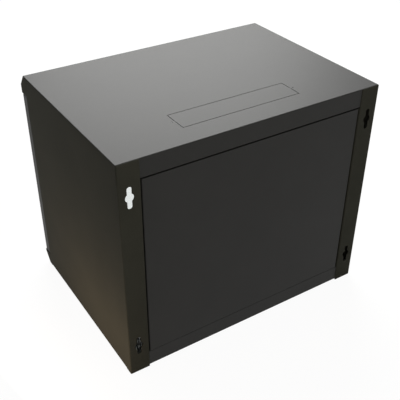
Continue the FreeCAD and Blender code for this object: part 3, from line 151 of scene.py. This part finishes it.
def closed_tube(points):
    """Vertices and faces of a grid of rings, rows by columns by 3. Each ring closes on itself, and each
    end closes on a pole at the middle of its ring."""
    rows, columns = points.shape[:2]
    row = np.arange(rows - 1)[:, None] * columns
    ring = np.arange(columns)
    beside = (ring + 1) % columns
    quads = np.stack([row + ring, row + beside, row + columns + beside, row + columns + ring], axis=-1)
    last = (rows - 1) * columns
    pole = rows * columns
    first_fan = np.stack([beside, ring, np.full(columns, pole)], axis=-1)
    last_fan = np.stack([last + ring, last + beside, np.full(columns, pole + 1)], axis=-1)
    vertices = np.vstack([points.reshape(-1, 3), points[0].mean(axis=0), points[-1].mean(axis=0)])
    return vertices, quads.reshape(-1, 4), np.vstack([first_fan, last_fan])


def new_piece(name, surfaces, material, body, slot, *stands_for, smooth=40.0):
    """One object of several closed surfaces, shaded, coated and tied to its body; the nodes it replaces are
    hidden. The slot is not used."""
    starts = np.cumsum([0] + [len(vertices) for vertices, _, _ in surfaces])
    faces = []
    for first, (_, quads, fans) in zip(starts, surfaces):
        faces += (quads + first).tolist() + (fans + first).tolist()
    mesh = bpy.data.meshes.new(name)
    mesh.from_pydata(np.vstack([vertices for vertices, _, _ in surfaces]).tolist(), [], faces)
    mesh.materials.append(material)
    mesh.shade_smooth()
    mesh.set_sharp_from_angle(angle=math.radians(smooth))
    piece = bpy.data.objects.new(name, mesh)
    bpy.context.scene.collection.objects.link(piece)
    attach(piece, body)
    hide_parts(*stands_for)
    return piece


def middles(node, axis, gap):
    """Middles, square to one axis, of a node's like solids, which stand further apart than the gap."""
    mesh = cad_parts[node].data
    points = np.empty(len(mesh.vertices) * 3)
    mesh.vertices.foreach_get("co", points)
    flat = np.delete(points.reshape(-1, 3), axis, axis=1)
    order = np.argsort(flat, axis=0)
    ranked = np.take_along_axis(flat, order, axis=0)
    steps = np.vstack([np.zeros((1, 2), int), np.cumsum(np.diff(ranked, axis=0) > gap, axis=0)])
    group = np.empty_like(steps)
    np.put_along_axis(group, order, steps, axis=0)
    group = group[:, 0] * (group[:, 1].max() + 1) + group[:, 1]
    spots = [flat[group == one] for one in np.unique(group)]
    return [(spot.min(axis=0) + spot.max(axis=0)) / 2 for spot in spots]


def threaded_stud(foot, axis, way, radius, length, pitch):
    """A weld stud along an axis. At the angle a and the height h its radius is the stud's, less 0.6 pitch
    times a triangle wave of h / pitch - a / full turn. The wave fades out on the half pitch above the foot.
    Towards the tip the radius draws in by a quarter."""
    around = 24
    height = np.linspace(0.0, length, int(length / pitch * 8) + 1)[:, None]
    angle = np.linspace(0.0, FULL_TURN, around, endpoint=False)[None, :]
    wave = np.abs((height / pitch - angle / FULL_TURN) % 1.0 * 2.0 - 1.0)
    threaded = np.clip(height / pitch - 0.5, 0.0, 1.0)
    tip = np.clip(1.0 - (length - height) / (0.25 * radius), 0.0, 1.0)
    reach = radius - 0.6 * pitch * threaded * (1.0 - wave) - 0.25 * radius * tip
    points = np.empty((len(height), around, 3))
    points[..., axis] = foot[axis] + way * height
    first, second = (axis + 1) % 3, (axis + 2) % 3
    points[..., first] = foot[first] + reach * np.cos(angle)
    points[..., second] = foot[second] + way * reach * np.sin(angle)
    return closed_tube(points)


def coil_spring(low, high, middle, radius, wire, turns):
    """A compression spring about a Z axis. The wire's middle runs round at the spring's radius. Its
    height rises by a wire's width over each closed end of three quarters of a turn, and evenly in
    between. Each ring of the wire stands square to its run."""
    around, steps = 14, 32
    share = np.linspace(0.0, 1.0, int(turns * steps) + 1)
    end = 0.75 / turns
    closed = wire * (np.clip(share / end, 0.0, 1.0) + np.clip((share - 1.0 + end) / end, 0.0, 1.0))
    open_rise = high - low - 3.0 * wire
    height = low + wire / 2 + closed + open_rise * np.clip((share - end) / (1.0 - 2.0 * end), 0.0, 1.0)
    turn = share * turns * FULL_TURN
    outward = np.stack([np.cos(turn), np.sin(turn), np.zeros_like(turn)], axis=-1)
    run = radius * outward + np.stack([np.full_like(turn, middle[0]), np.full_like(turn, middle[1]),
                                       height], axis=-1)
    ahead = np.gradient(run, axis=0)
    ahead /= np.linalg.norm(ahead, axis=1)[:, None]
    aside = np.cross(ahead, outward)
    angle = np.linspace(0.0, FULL_TURN, around, endpoint=False)[None, :, None]
    ring = np.cos(angle) * outward[:, None, :] + np.sin(angle) * aside[:, None, :]
    return closed_tube(run[:, None, :] + wire / 2 * ring)


def buffer_pad(low, high):
    """A moulded pad that fills a box, with its face towards -Y. It is a superellipsoid: each coordinate
    is half the box times a cosine or sine raised to a small power that keeps its sign, which squares the
    sides and leaves the edges round."""
    def squared(values, power):
        return np.sign(values) * np.abs(values) ** power

    half = (high - low) / 2.0
    up = np.linspace(-math.pi / 2 + 0.02, math.pi / 2 - 0.02, 15)[:, None]
    angle = np.linspace(0.0, FULL_TURN, 48, endpoint=False)[None, :]
    across = squared(np.cos(up), 0.35) * squared(np.cos(angle), 0.9)
    upright = squared(np.cos(up), 0.35) * squared(np.sin(angle), 0.45)
    deep = squared(np.sin(up), 0.35) * np.ones_like(angle)
    return closed_tube((low + high) / 2.0 + half * np.stack([across, -deep, upright], axis=-1))


# ---------------------------------------------------------------------------------------------------
# What a user would change
# ---------------------------------------------------------------------------------------------------

class CoatLook(bpy.types.PropertyGroup):
    """Black polyester powder coat."""

    body: FloatVectorProperty(name="Body coat", description="Powder coat of the panels and the door",
                              subtype="COLOR", default=srgb("#1F1F1E"))
    # The side coat is a shaded copy of the one black coat: its warmer tone and almost no shine paint the side
    # panels and brackets darker, as if in shade.
    sides: FloatVectorProperty(name="Side coat", description="Powder coat of the side panels",
                               subtype="COLOR", default=srgb("#2A2A25"))
    rails: FloatVectorProperty(name="Rail coat", description="Powder coat of the rails",
                               subtype="COLOR", default=srgb("#2A2A2B"))
    body_shine: FloatProperty(name="Body shine", description="Specular level of the body coat", default=0.13,
                              min=0.0, max=1.0, subtype="FACTOR")
    # Near zero, so that the sides render darker than the panels: painted shade.
    shaded_side_shine: FloatProperty(name="Side shine", description="Specular level of the side coat", default=0.005,
                              min=0.0, max=1.0, subtype="FACTOR")
    roughness: FloatProperty(name="Roughness", description="Micro roughness of the satin coat", default=0.52,
                             min=0.0, max=1.0, subtype="FACTOR")
    grain: FloatProperty(name="Grain", description="Size of the fine texture's grains", default=1.1 * MM,
                         unit="LENGTH", precision=5)
    peel: FloatProperty(name="Orange peel", description="Size of the waves that the melted powder sets in",
                        default=5.0 * MM, unit="LENGTH", precision=5)


class MetalLook(bpy.types.PropertyGroup):
    """Platings and bare steel."""

    zinc: FloatVectorProperty(name="Zinc plate", description="Bright zinc with a clear passivation",
                              subtype="COLOR", default=srgb("#B9BDC0"))
    black: FloatVectorProperty(name="Black zinc plate", description="Zinc with a black passivation",
                               subtype="COLOR", default=srgb("#333335"))
    steel: FloatVectorProperty(name="Turned steel", description="Bright turned steel pins and clips",
                               subtype="COLOR", default=srgb("#A9A9A8"))
    wire: FloatVectorProperty(name="Spring wire", description="Drawn and phosphated spring wire",
                              subtype="COLOR", default=srgb("#77777A"))
    chrome: FloatVectorProperty(name="Chrome", description="Chrome plate over a zinc casting",
                                subtype="COLOR", default=srgb("#C6C8CA"))
    stud_pitch: FloatProperty(name="Stud pitch", description="Pitch of the 6 mm studs' thread",
                              default=1.0 * MM, unit="LENGTH", precision=5)
    clip_pitch: FloatProperty(name="Clip stud pitch", description="Pitch of the 4 mm clip studs' thread",
                              default=0.7 * MM, unit="LENGTH", precision=5)
    spring_turns: IntProperty(name="Spring turns", description="Turns of each hinge pin's spring", default=6)
    spring_wire: FloatProperty(name="Wire", description="Diameter of the spring wire", default=1.2 * MM,
                               unit="LENGTH", precision=5)


class SoftLook(bpy.types.PropertyGroup):
    """Glass, tape, rubber and nylon."""

    glass: FloatVectorProperty(name="Glass", description="Tint of the toughened door glass", subtype="COLOR",
                               default=srgb("#E6EAE9"))
    rubber: FloatVectorProperty(name="Rubber", description="Moulded rubber of the door buffers",
                                subtype="COLOR", default=srgb("#1D1D1D"))
    foam: FloatVectorProperty(name="Foam", description="Closed cell foam of the glazing tape",
                              subtype="COLOR", default=srgb("#232323"))
    nylon: FloatVectorProperty(name="Nylon", description="Moulded nylon of the hinge bushes",
                               subtype="COLOR", default=srgb("#2C2C2C"))


class StageLook(bpy.types.PropertyGroup):
    """Floor, lamps and camera."""

    floor: FloatVectorProperty(name="Floor", description="Colour of the floor", subtype="COLOR",
                               default=srgb("#F4F4F2"))
    reach: FloatProperty(name="Floor size", description="Length of the floor's sides", default=14.0,
                         unit="LENGTH")
    world: FloatProperty(name="Surround", description="Level of the surround's light", default=0.42, min=0.0)
    softbox: FloatProperty(name="Softbox", description="Level of the large softbox", default=12.2, min=0.0)
    overhead: FloatProperty(name="Overhead fill", description="Level of the lamp over the cabinet",
                            default=0.9, min=0.0)
    fill: FloatProperty(name="Warm fill", description="Level of the low warm fill lamp", default=13.5,
                        min=0.0)
    rear: FloatProperty(name="Rear fill", description="Level of the fill lamp behind the cabinet",
                        default=4.0, min=0.0)
    lens: FloatProperty(name="Focal length", description="Focal length for a 36 mm wide sensor in mm",
                        default=61.8)


# ---------------------------------------------------------------------------------------------------
# Materials
# ---------------------------------------------------------------------------------------------------

def powder_coat(name, colour, shine, look):
    """Polyester powder, sprayed dry and baked on folded steel: near black and satin. The eye gets a fine
    even grain, soft reflections with a faint orange peel, and edges where the coat draws thin, each with a
    painted highlight. The grain is drawn about three times as coarse as the real one, so that it shows."""
    material, tree, coords = start(name)
    normal, edge = thin_edges(tree, 0.9 * MM)
    clouds = add(tree, "TexNoise", {"Vector": coords, "Scale": 1.0 / (90.0 * MM), "Detail": 3.0,
                                    "Roughness": 0.55})
    peel = add(tree, "TexNoise", {"Vector": coords, "Scale": 1.0 / look.peel, "Detail": 1.0})
    grain = add(tree, "TexNoise", {"Vector": coords, "Scale": 1.0 / look.grain, "Detail": 3.0,
                                   "Roughness": 0.6})
    normal = add(tree, "Bump", {"Height": peel, "Distance": 0.05 * MM, "Strength": 0.5, "Normal": normal})
    normal = add(tree, "Bump", {"Height": grain, "Distance": 0.03 * MM, "Strength": 0.6, "Normal": normal})
    cloudy = add(tree, "MapRange", {"Value": clouds, "From Min": 0.3, "From Max": 0.7})
    tone = add(tree, "Mix", {"Factor": cloudy, "A": shade(colour, 0.92), "B": shade(colour, 1.08)},
               data_type="RGBA")
    specks = add(tree, "MapRange", {"Value": grain, "From Min": 0.35, "From Max": 0.75, "To Max": 0.30})
    tone = add(tree, "Mix", {"Factor": specks, "A": tone, "B": shade(colour, 1.8)}, data_type="RGBA")
    # Painted highlight: the coat does draw thin at edges, but lightening every edge towards 2.4 times the
    # coat's colour paints the light they catch.
    thin = add(tree, "Math", {0: edge, 1: 0.12}, operation="MULTIPLY")
    tone = add(tree, "Mix", {"Factor": thin, "A": tone, "B": shade(colour, 2.4)}, data_type="RGBA")
    rough = add(tree, "MapRange", {"Value": grain, "From Min": 0.3, "From Max": 0.7,
                                   "To Min": look.roughness - 0.04, "To Max": look.roughness + 0.04})
    coat = add(tree, "BsdfPrincipled", {"Base Color": tone, "Roughness": rough, "Specular IOR Level": shine,
                                        "IOR": 1.5, "Normal": normal})
    add(tree, "OutputMaterial", {"Surface": coat})
    return material


def zinc_plate(name, colour):
    """Zinc, electroplated and passivated clear or black on cold formed steel: a soft metal shine under a
    thin film that drifts between blue and straw, with brighter rubbed edges."""
    material, tree, coords = start(name)
    normal, edge = thin_edges(tree, 0.15 * MM)
    film = add(tree, "TexNoise", {"Vector": coords, "Scale": 1.0 / (4.0 * MM), "Detail": 3.0,
                                  "Roughness": 0.6})
    marks = add(tree, "TexNoise", {"Vector": coords, "Scale": 1.0 / (0.5 * MM), "Detail": 2.0})
    drift = add(tree, "MapRange", {"Value": film, "From Min": 0.3, "From Max": 0.7})
    blue = tuple(np.array(colour) * (0.86, 0.94, 1.02))
    straw = tuple(np.array(colour) * (1.02, 0.97, 0.86))
    tone = add(tree, "Mix", {"Factor": drift, "A": shade(blue), "B": shade(straw)}, data_type="RGBA")
    rubbed = add(tree, "Math", {0: edge, 1: 0.3}, operation="MULTIPLY")
    tone = add(tree, "Mix", {"Factor": rubbed, "A": tone, "B": shade(colour, 1.15)}, data_type="RGBA")
    rough = add(tree, "MapRange", {"Value": marks, "From Min": 0.3, "From Max": 0.7, "To Min": 0.26,
                                   "To Max": 0.40})
    normal = add(tree, "Bump", {"Height": marks, "Distance": 0.01 * MM, "Strength": 0.4, "Normal": normal})
    plate = add(tree, "BsdfPrincipled", {"Base Color": tone, "Metallic": 1.0, "Roughness": rough,
                                         "Normal": normal})
    add(tree, "OutputMaterial", {"Surface": plate})
    return material


def bright_steel(name, colour, ring, roughness):
    """Carbon steel, turned or drawn and oiled: a grey metal shine with fine tool rings round its axis and
    duller spots where the oil has dried. The rings are drawn at about twice their real pitch, so that
    they show."""
    material, tree, coords = start(name)
    normal, edge = thin_edges(tree, 0.2 * MM)
    rings = add(tree, "TexWave", {"Vector": coords, "Scale": 1.0 / (FULL_TURN * ring), "Distortion": 1.5,
                                  "Detail": 2.0}, bands_direction="Z")
    spots = add(tree, "TexNoise", {"Vector": coords, "Scale": 1.0 / (2.5 * MM), "Detail": 3.0})
    dull = add(tree, "MapRange", {"Value": spots, "From Min": 0.45, "From Max": 0.75, "To Max": 0.5})
    tone = add(tree, "Mix", {"Factor": dull, "A": shade(colour), "B": shade(colour, 0.6)}, data_type="RGBA")
    rubbed = add(tree, "Math", {0: edge, 1: 0.4}, operation="MULTIPLY")
    tone = add(tree, "Mix", {"Factor": rubbed, "A": tone, "B": shade(colour, 1.2)}, data_type="RGBA")
    rough = add(tree, "MapRange", {"Value": spots, "From Min": 0.3, "From Max": 0.7,
                                   "To Min": roughness - 0.06, "To Max": roughness + 0.08})
    normal = add(tree, "Bump", {"Height": rings, "Distance": 0.01 * MM, "Strength": 0.5, "Normal": normal})
    steel = add(tree, "BsdfPrincipled", {"Base Color": tone, "Metallic": 1.0, "Roughness": rough,
                                         "Normal": normal})
    add(tree, "OutputMaterial", {"Surface": steel})
    return material


def chrome_plate(name, colour):
    """Chrome, electroplated on a polished zinc casting: a clear mirror, softened by the casting's skin
    and by finger marks."""
    material, tree, coords = start(name)
    normal, _ = thin_edges(tree, 0.3 * MM)
    skin = add(tree, "TexNoise", {"Vector": coords, "Scale": 1.0 / (3.0 * MM), "Detail": 2.0})
    marks = add(tree, "TexNoise", {"Vector": coords, "Scale": 1.0 / (6.0 * MM), "Detail": 4.0,
                                   "Roughness": 0.65})
    touched = add(tree, "MapRange", {"Value": marks, "From Min": 0.4, "From Max": 0.8, "To Max": 0.25})
    tone = add(tree, "Mix", {"Factor": touched, "A": shade(colour), "B": shade(colour, 0.75)},
               data_type="RGBA")
    rough = add(tree, "MapRange", {"Value": marks, "From Min": 0.35, "From Max": 0.75, "To Min": 0.08,
                                   "To Max": 0.22})
    normal = add(tree, "Bump", {"Height": skin, "Distance": 0.02 * MM, "Strength": 0.25, "Normal": normal})
    plate = add(tree, "BsdfPrincipled", {"Base Color": tone, "Metallic": 1.0, "Roughness": rough,
                                         "Normal": normal})
    add(tree, "OutputMaterial", {"Surface": plate})
    return material


def moulding(name, colour, roughness, grain, depth):
    """Rubber or nylon, injection moulded: near black and dull, with the mould's spark eroded texture and
    a pale bloom in places."""
    material, tree, coords = start(name)
    normal, _ = thin_edges(tree, 0.3 * MM)
    texture = add(tree, "TexNoise", {"Vector": coords, "Scale": 1.0 / grain, "Detail": 3.0, "Roughness": 0.6})
    bloom = add(tree, "TexNoise", {"Vector": coords, "Scale": 1.0 / (14.0 * MM), "Detail": 3.0})
    dusty = add(tree, "MapRange", {"Value": bloom, "From Min": 0.45, "From Max": 0.8, "To Max": 0.35})
    tone = add(tree, "Mix", {"Factor": dusty, "A": shade(colour), "B": shade(colour, 2.2)}, data_type="RGBA")
    rough = add(tree, "MapRange", {"Value": bloom, "From Min": 0.3, "From Max": 0.7,
                                   "To Min": roughness - 0.04, "To Max": roughness + 0.05})
    normal = add(tree, "Bump", {"Height": texture, "Distance": depth, "Strength": 0.7, "Normal": normal})
    polymer = add(tree, "BsdfPrincipled", {"Base Color": tone, "Roughness": rough, "Specular IOR Level": 0.35,
                                           "Normal": normal})
    add(tree, "OutputMaterial", {"Surface": polymer})
    return material


def foam_tape(name, colour):
    """Polyethylene foam, blown with closed cells and slit to width: matt black with small round cells, with
    painted shade in their hollows.
    """
    material, tree, coords = start(name)
    cells = add(tree, "TexVoronoi", {"Vector": coords, "Scale": 1.0 / (0.9 * MM)})
    # Painted shade and highlight: the cells' hollows, low in the bump, are darkened to half the colour and
    # their rims lightened.
    deep = add(tree, "MapRange", {"Value": cells, "From Min": 0.1, "From Max": 0.6})
    tone = add(tree, "Mix", {"Factor": deep, "A": shade(colour, 0.5), "B": shade(colour, 1.5)},
               data_type="RGBA")
    normal = add(tree, "Bump", {"Height": cells, "Distance": 0.15 * MM, "Strength": 0.8})
    foam = add(tree, "BsdfPrincipled", {"Base Color": tone, "Roughness": 0.92, "Specular IOR Level": 0.2,
                                        "Normal": normal})
    add(tree, "OutputMaterial", {"Surface": foam})
    return material


def float_glass(name, colour):
    """Float glass, 4 mm, toughened: clear and flat with a light grey tint, the furnace's faint roller
    wave and a trace of dust."""
    material, tree, coords = start(name)
    wave = add(tree, "TexNoise", {"Vector": coords, "Scale": 1.0 / (180.0 * MM), "Detail": 1.0})
    dust = add(tree, "TexNoise", {"Vector": coords, "Scale": 1.0 / (30.0 * MM), "Detail": 5.0,
                                  "Roughness": 0.7})
    rough = add(tree, "MapRange", {"Value": dust, "From Min": 0.45, "From Max": 0.8, "To Max": 0.012})
    normal = add(tree, "Bump", {"Height": wave, "Distance": 0.3 * MM, "Strength": 0.1})
    glass = add(tree, "BsdfPrincipled", {"Base Color": shade(colour), "IOR": 1.52, "Transmission Weight": 1.0,
                                         "Roughness": rough, "Normal": normal})
    add(tree, "OutputMaterial", {"Surface": glass})
    return material


def seen_directly(tree):
    """1 for rays from the lens, from shiny surfaces and through glass, and 0 for the light that surfaces
    get."""
    path = add(tree, "LightPath").outputs
    shiny = add(tree, "Math", {0: path["Is Camera Ray"], 1: path["Is Glossy Ray"]}, operation="MAXIMUM")
    return add(tree, "Math", {0: shiny, 1: path["Is Transmission Ray"]}, operation="MAXIMUM")


def paper_roll(name, colour, covered):
    """Matt white background paper with fine fibres. It looks white where it is lit, keeps a faint shadow
    round the object, and is dark where it is covered, so that no light shows through the slits above
    it."""
    material, tree, coords = start(name)
    fibres = add(tree, "TexNoise", {"Vector": coords, "Scale": 1.0 / (2.0 * MM), "Detail": 3.0})
    light = add(tree, "MapRange", {"Value": fibres, "From Min": 0.3, "From Max": 0.7})
    tone = add(tree, "Mix", {"Factor": light, "A": shade(colour, 0.985), "B": shade(colour)},
               data_type="RGBA")
    paper = add(tree, "BsdfDiffuse", {"Color": tone})
    glow = add(tree, "Emission", {"Color": (1.0, 1.0, 1.0, 1.0), "Strength": 1.0})
    away = add(tree, "SeparateXYZ", {0: add(tree, "VectorMath", {0: coords}, operation="ABSOLUTE")}).outputs
    beside = add(tree, "Math", {0: away["X"], 1: covered[0]}, operation="GREATER_THAN")
    behind = add(tree, "Math", {0: away["Y"], 1: covered[1]}, operation="GREATER_THAN")
    bare = add(tree, "Math", {0: beside, 1: behind}, operation="MAXIMUM")
    share = add(tree, "Math", {0: seen_directly(tree), 1: PAPER_GLOW}, operation="MULTIPLY")
    share = add(tree, "Math", {0: share, 1: bare}, operation="MULTIPLY")
    mixed = add(tree, "MixShader", {0: share, 1: paper, 2: glow})
    add(tree, "OutputMaterial", {"Surface": mixed})
    return material


# ---------------------------------------------------------------------------------------------------
# Operators
# ---------------------------------------------------------------------------------------------------

class CABINET_OT_coated_steel(bpy.types.Operator):
    """Coats the folded panels, the door, the brackets and the rails."""

    bl_idname = "cabinet.coated_steel"
    bl_label = "Coated steel"

    def execute(self, context):
        look = context.scene.cabinet_coat
        body = powder_coat("Black powder coat on panels", tuple(look.body), look.body_shine, look)
        # The sides get a shaded copy of the coat with almost no shine, which paints them darker: painted
        # shade.
        sides = powder_coat("Black powder coat on sides, shaded copy", tuple(look.sides), look.shaded_side_shine, look)
        rails = powder_coat("Black powder coat on rails", tuple(look.rails), look.body_shine, look)
        dress(body, "top_panel", "bottom_panel", "rear_panel", "top_cable_knockout", "bottom_cable_knockout",
              "door_frame", "glass_clips", "upper_pin_guide", "lower_pin_guide")
        dress(sides, "side_panel_left", "side_panel_right", "upper_bracket_left", "upper_bracket_right",
              "lower_bracket_left", "lower_bracket_right")
        dress(rails, "rail_left", "rail_right")
        return {"FINISHED"}


class CABINET_OT_fasteners(bpy.types.Operator):
    """Plates the screws, nuts, washer and cam."""

    bl_idname = "cabinet.fasteners"
    bl_label = "Screws and nuts"

    def execute(self, context):
        look = context.scene.cabinet_metal
        zinc = zinc_plate("Zinc plate on steel", tuple(look.zinc))
        black = zinc_plate("Black zinc plate on steel", tuple(look.black))
        dress(black, "top_panel_studs", "top_panel_nuts", "bottom_panel_studs", "bottom_panel_nuts",
              "rear_panel_screws")
        dress(zinc, "earth_stud", "earth_washer", "earth_nut", "rail_screws_left", "rail_screws_right",
              "rail_nuts_left", "rail_nuts_right", "glass_clip_studs", "glass_clip_nuts", "cam_screw",
              "lock_nut", "lock_cam")
        return {"FINISHED"}


class CABINET_OT_studs(bpy.types.Operator):
    """Cuts the threads of the weld studs."""

    bl_idname = "cabinet.studs"
    bl_label = "Threaded studs"

    def execute(self, context):
        look = context.scene.cabinet_metal
        for node, body, axis, way, radius, pitch in (
                ("top_panel_studs", "cabinet", 2, -1, THICK_STUD, look.stud_pitch),
                ("bottom_panel_studs", "cabinet", 2, 1, THICK_STUD, look.stud_pitch),
                ("earth_stud", "cabinet", 2, 1, THICK_STUD, look.stud_pitch),
                ("glass_clip_studs", "door", 1, 1, THIN_STUD, look.clip_pitch)):
            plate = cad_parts[node].active_material
            low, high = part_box(node)
            length = high[axis] - low[axis]
            foot = low[axis] if way > 0 else high[axis]
            studs = [threaded_stud(np.insert(spot, axis, foot), axis, way, radius, length, pitch)
                     for spot in middles(node, axis, 4.0 * radius)]
            new_piece(node + "_threads", studs, plate, body, "zinc_plate", node)
        return {"FINISHED"}


class CABINET_OT_springs(bpy.types.Operator):
    """Winds the hinge pins' springs and finishes the pins, clips and bushes."""

    bl_idname = "cabinet.springs"
    bl_label = "Hinge pins and springs"

    def execute(self, context):
        look = context.scene.cabinet_metal
        steel = bright_steel("Turned bright steel", tuple(look.steel), 0.35 * MM, 0.26)
        wire = bright_steel("Drawn spring wire", tuple(look.wire), 1.1 * MM, 0.36)
        nylon = moulding("Moulded black nylon", tuple(context.scene.cabinet_soft.nylon), 0.5, 0.6 * MM,
                         0.03 * MM)
        dress(steel, "upper_hinge_pin", "lower_hinge_pin", "upper_pin_clip", "lower_pin_clip")
        dress(nylon, "upper_hinge_bush", "lower_hinge_bush")
        for level in ("upper", "lower"):
            node = level + "_pin_spring"
            dress(wire, node)
            low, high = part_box(node)
            middle = ((low.x + high.x) / 2, (low.y + high.y) / 2)
            radius = (high.x - low.x - look.spring_wire) / 2
            coil = coil_spring(low.z, high.z, middle, radius, look.spring_wire, look.spring_turns)
            piece = new_piece(level + "_spring_coil", [coil], wire, "door", "spring_steel", node)
            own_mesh(piece)
        return {"FINISHED"}


class CABINET_OT_lock(bpy.types.Operator):
    """Plates the cam lock's housing and plug."""

    bl_idname = "cabinet.lock"
    bl_label = "Cam lock"

    def execute(self, context):
        chrome = chrome_plate("Chrome plate on zinc casting", tuple(context.scene.cabinet_metal.chrome))
        dress(chrome, "lock_housing", "lock_plug")
        return {"FINISHED"}


class CABINET_OT_glazing(bpy.types.Operator):
    """Sets the door glass and its tape."""

    bl_idname = "cabinet.glazing"
    bl_label = "Glass and tape"

    def execute(self, context):
        look = context.scene.cabinet_soft
        dress(float_glass("Toughened float glass", tuple(look.glass)), "door_glass")
        dress(foam_tape("Closed cell foam tape", tuple(look.foam)), "glass_tape")
        return {"FINISHED"}


class CABINET_OT_buffers(bpy.types.Operator):
    """Moulds the two rubber pads that the door closes on."""

    bl_idname = "cabinet.buffers"
    bl_label = "Door buffers"

    def execute(self, context):
        rubber = moulding("Moulded black rubber", tuple(context.scene.cabinet_soft.rubber), 0.72, 0.8 * MM,
                          0.05 * MM)
        dress(rubber, "door_buffers")
        low, high = (np.array(corner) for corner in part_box("door_buffers"))
        pads = [buffer_pad(low, np.array((high[0], high[1], low[2] + BUFFER_LENGTH))),
                buffer_pad(np.array((low[0], low[1], high[2] - BUFFER_LENGTH)), high)]
        new_piece("door_buffer_pads", pads, rubber, "cabinet", "rubber", "door_buffers")
        return {"FINISHED"}


class CABINET_OT_stage(bpy.types.Operator):
    """Lays the floor, hangs the lamps and sets the camera."""

    bl_idname = "cabinet.stage"
    bl_label = "Floor, lamps and camera"

    def floor(self, scene, look):
        """A square of background paper just under the cabinet, dark where the cabinet covers it."""
        half = look.reach / 2
        corners = [(x * half, y * half, -FLOOR_DROP) for x, y in ((-1, -1), (1, -1), (1, 1), (-1, 1))]
        mesh = bpy.data.meshes.new("floor")
        mesh.from_pydata(corners, [], [(0, 1, 2, 3)])
        covered = [edge - COVER_MARGIN for edge in CAD_BOX[1][:2]]
        mesh.materials.append(paper_roll("White background paper", tuple(look.floor), covered))
        floor = bpy.data.objects.new("floor", mesh)
        scene.collection.objects.link(floor)

    def surround(self, scene, look):
        """An even surround, which looks white and lights surfaces at its own level."""
        world = bpy.data.worlds.new("Pale surround")
        world.use_nodes = True
        tree = world.node_tree
        tree.nodes.clear()
        level = add(tree, "MapRange", {"Value": seen_directly(tree), "To Min": look.world, "To Max": 1.0})
        shine = add(tree, "Background", {"Color": (1.0, 1.0, 1.0, 1.0), "Strength": level})
        add(tree, "OutputWorld", {"Surface": shine})
        scene.world = world

    def softbox(self, scene, name, place, aim, width, height, level, colour, mirrored=True):
        """A flat lamp whose face shines at this level, a level of 1 being white. Shiny surfaces mirror it
        or not."""
        lamp = bpy.data.lights.new(name, "AREA")
        lamp.shape = "RECTANGLE"
        lamp.size = width
        lamp.size_y = height
        lamp.energy = level * math.pi * width * height
        lamp.color = colour
        holder = bpy.data.objects.new(name, lamp)
        holder.location = place
        holder.rotation_euler = (Vector(aim) - Vector(place)).to_track_quat("-Z", "Y").to_euler()
        holder.visible_camera = False
        holder.visible_glossy = mirrored
        scene.collection.objects.link(holder)

    def camera(self, scene, look):
        """The camera, above and behind the cabinet on its right."""
        data = bpy.data.cameras.new("Camera")
        data.lens = look.lens
        data.sensor_width = SENSOR_WIDTH
        camera = bpy.data.objects.new("Camera", data)
        camera.location = (0.7062, 1.1150, 1.0924)
        camera.rotation_euler = [math.radians(angle) for angle in (55.82, -0.25, 147.43)]
        scene.collection.objects.link(camera)
        scene.camera = camera

    def execute(self, context):
        scene = context.scene
        look = scene.cabinet_stage
        self.floor(scene, look)
        self.surround(scene, look)
        self.softbox(scene, "Large softbox", (-0.80, -1.54, 1.75), (0.0, 0.0, 0.5), 1.7, 1.4, look.softbox,
                     (1.0, 1.0, 0.985))
        self.softbox(scene, "Overhead fill", (0.3, 0.4, 2.8), (0.0, 0.0, 0.3), 1.6, 1.6, look.overhead,
                     (1.0, 1.0, 1.0))
        self.softbox(scene, "Low warm fill", (0.52, 0.14, 0.05), (0.3, 0.10, 0.06), 0.40, 0.06, look.fill,
                     (1.0, 0.72, 0.48), mirrored=False)
        self.softbox(scene, "Rear fill", (0.2, 0.9, 0.70), (0.1, 0.22, 0.42), 0.5, 0.4, look.rear,
                     (1.0, 0.93, 0.84), mirrored=False)
        self.camera(scene, look)
        scene.view_settings.view_transform = "Standard"
        return {"FINISHED"}


class CABINET_PT_finish(bpy.types.Panel):
    """Sidebar panel with the cabinet's finishes and pieces."""

    bl_label = "Cabinet"
    bl_space_type = "VIEW_3D"
    bl_region_type = "UI"
    bl_category = "Cabinet"

    def draw(self, context):
        for group in GROUPS:
            box = self.layout.box()
            settings = getattr(context.scene, group)
            for name in settings.__annotations__:
                box.prop(settings, name)
        for operator in OPERATORS:
            self.layout.operator(operator.bl_idname)


OPERATORS = (CABINET_OT_coated_steel, CABINET_OT_fasteners, CABINET_OT_studs, CABINET_OT_springs,
             CABINET_OT_lock, CABINET_OT_glazing, CABINET_OT_buffers, CABINET_OT_stage)
GROUPS = {"cabinet_coat": CoatLook, "cabinet_metal": MetalLook, "cabinet_soft": SoftLook,
          "cabinet_stage": StageLook}


def register():
    for group in (*GROUPS.values(), *OPERATORS, CABINET_PT_finish):
        bpy.utils.register_class(group)
    for name, group in GROUPS.items():
        setattr(bpy.types.Scene, name, PointerProperty(type=group))


def unregister():
    for name in GROUPS:
        delattr(bpy.types.Scene, name)
    for group in (CABINET_PT_finish, *reversed(OPERATORS), *GROUPS.values()):
        bpy.utils.unregister_class(group)


def main():
    register()
    bpy.ops.cabinet.coated_steel()
    bpy.ops.cabinet.fasteners()
    bpy.ops.cabinet.studs()
    bpy.ops.cabinet.springs()
    bpy.ops.cabinet.lock()
    bpy.ops.cabinet.glazing()
    bpy.ops.cabinet.buffers()
    bpy.ops.cabinet.stage()


if __name__ == "__main__":
    main()
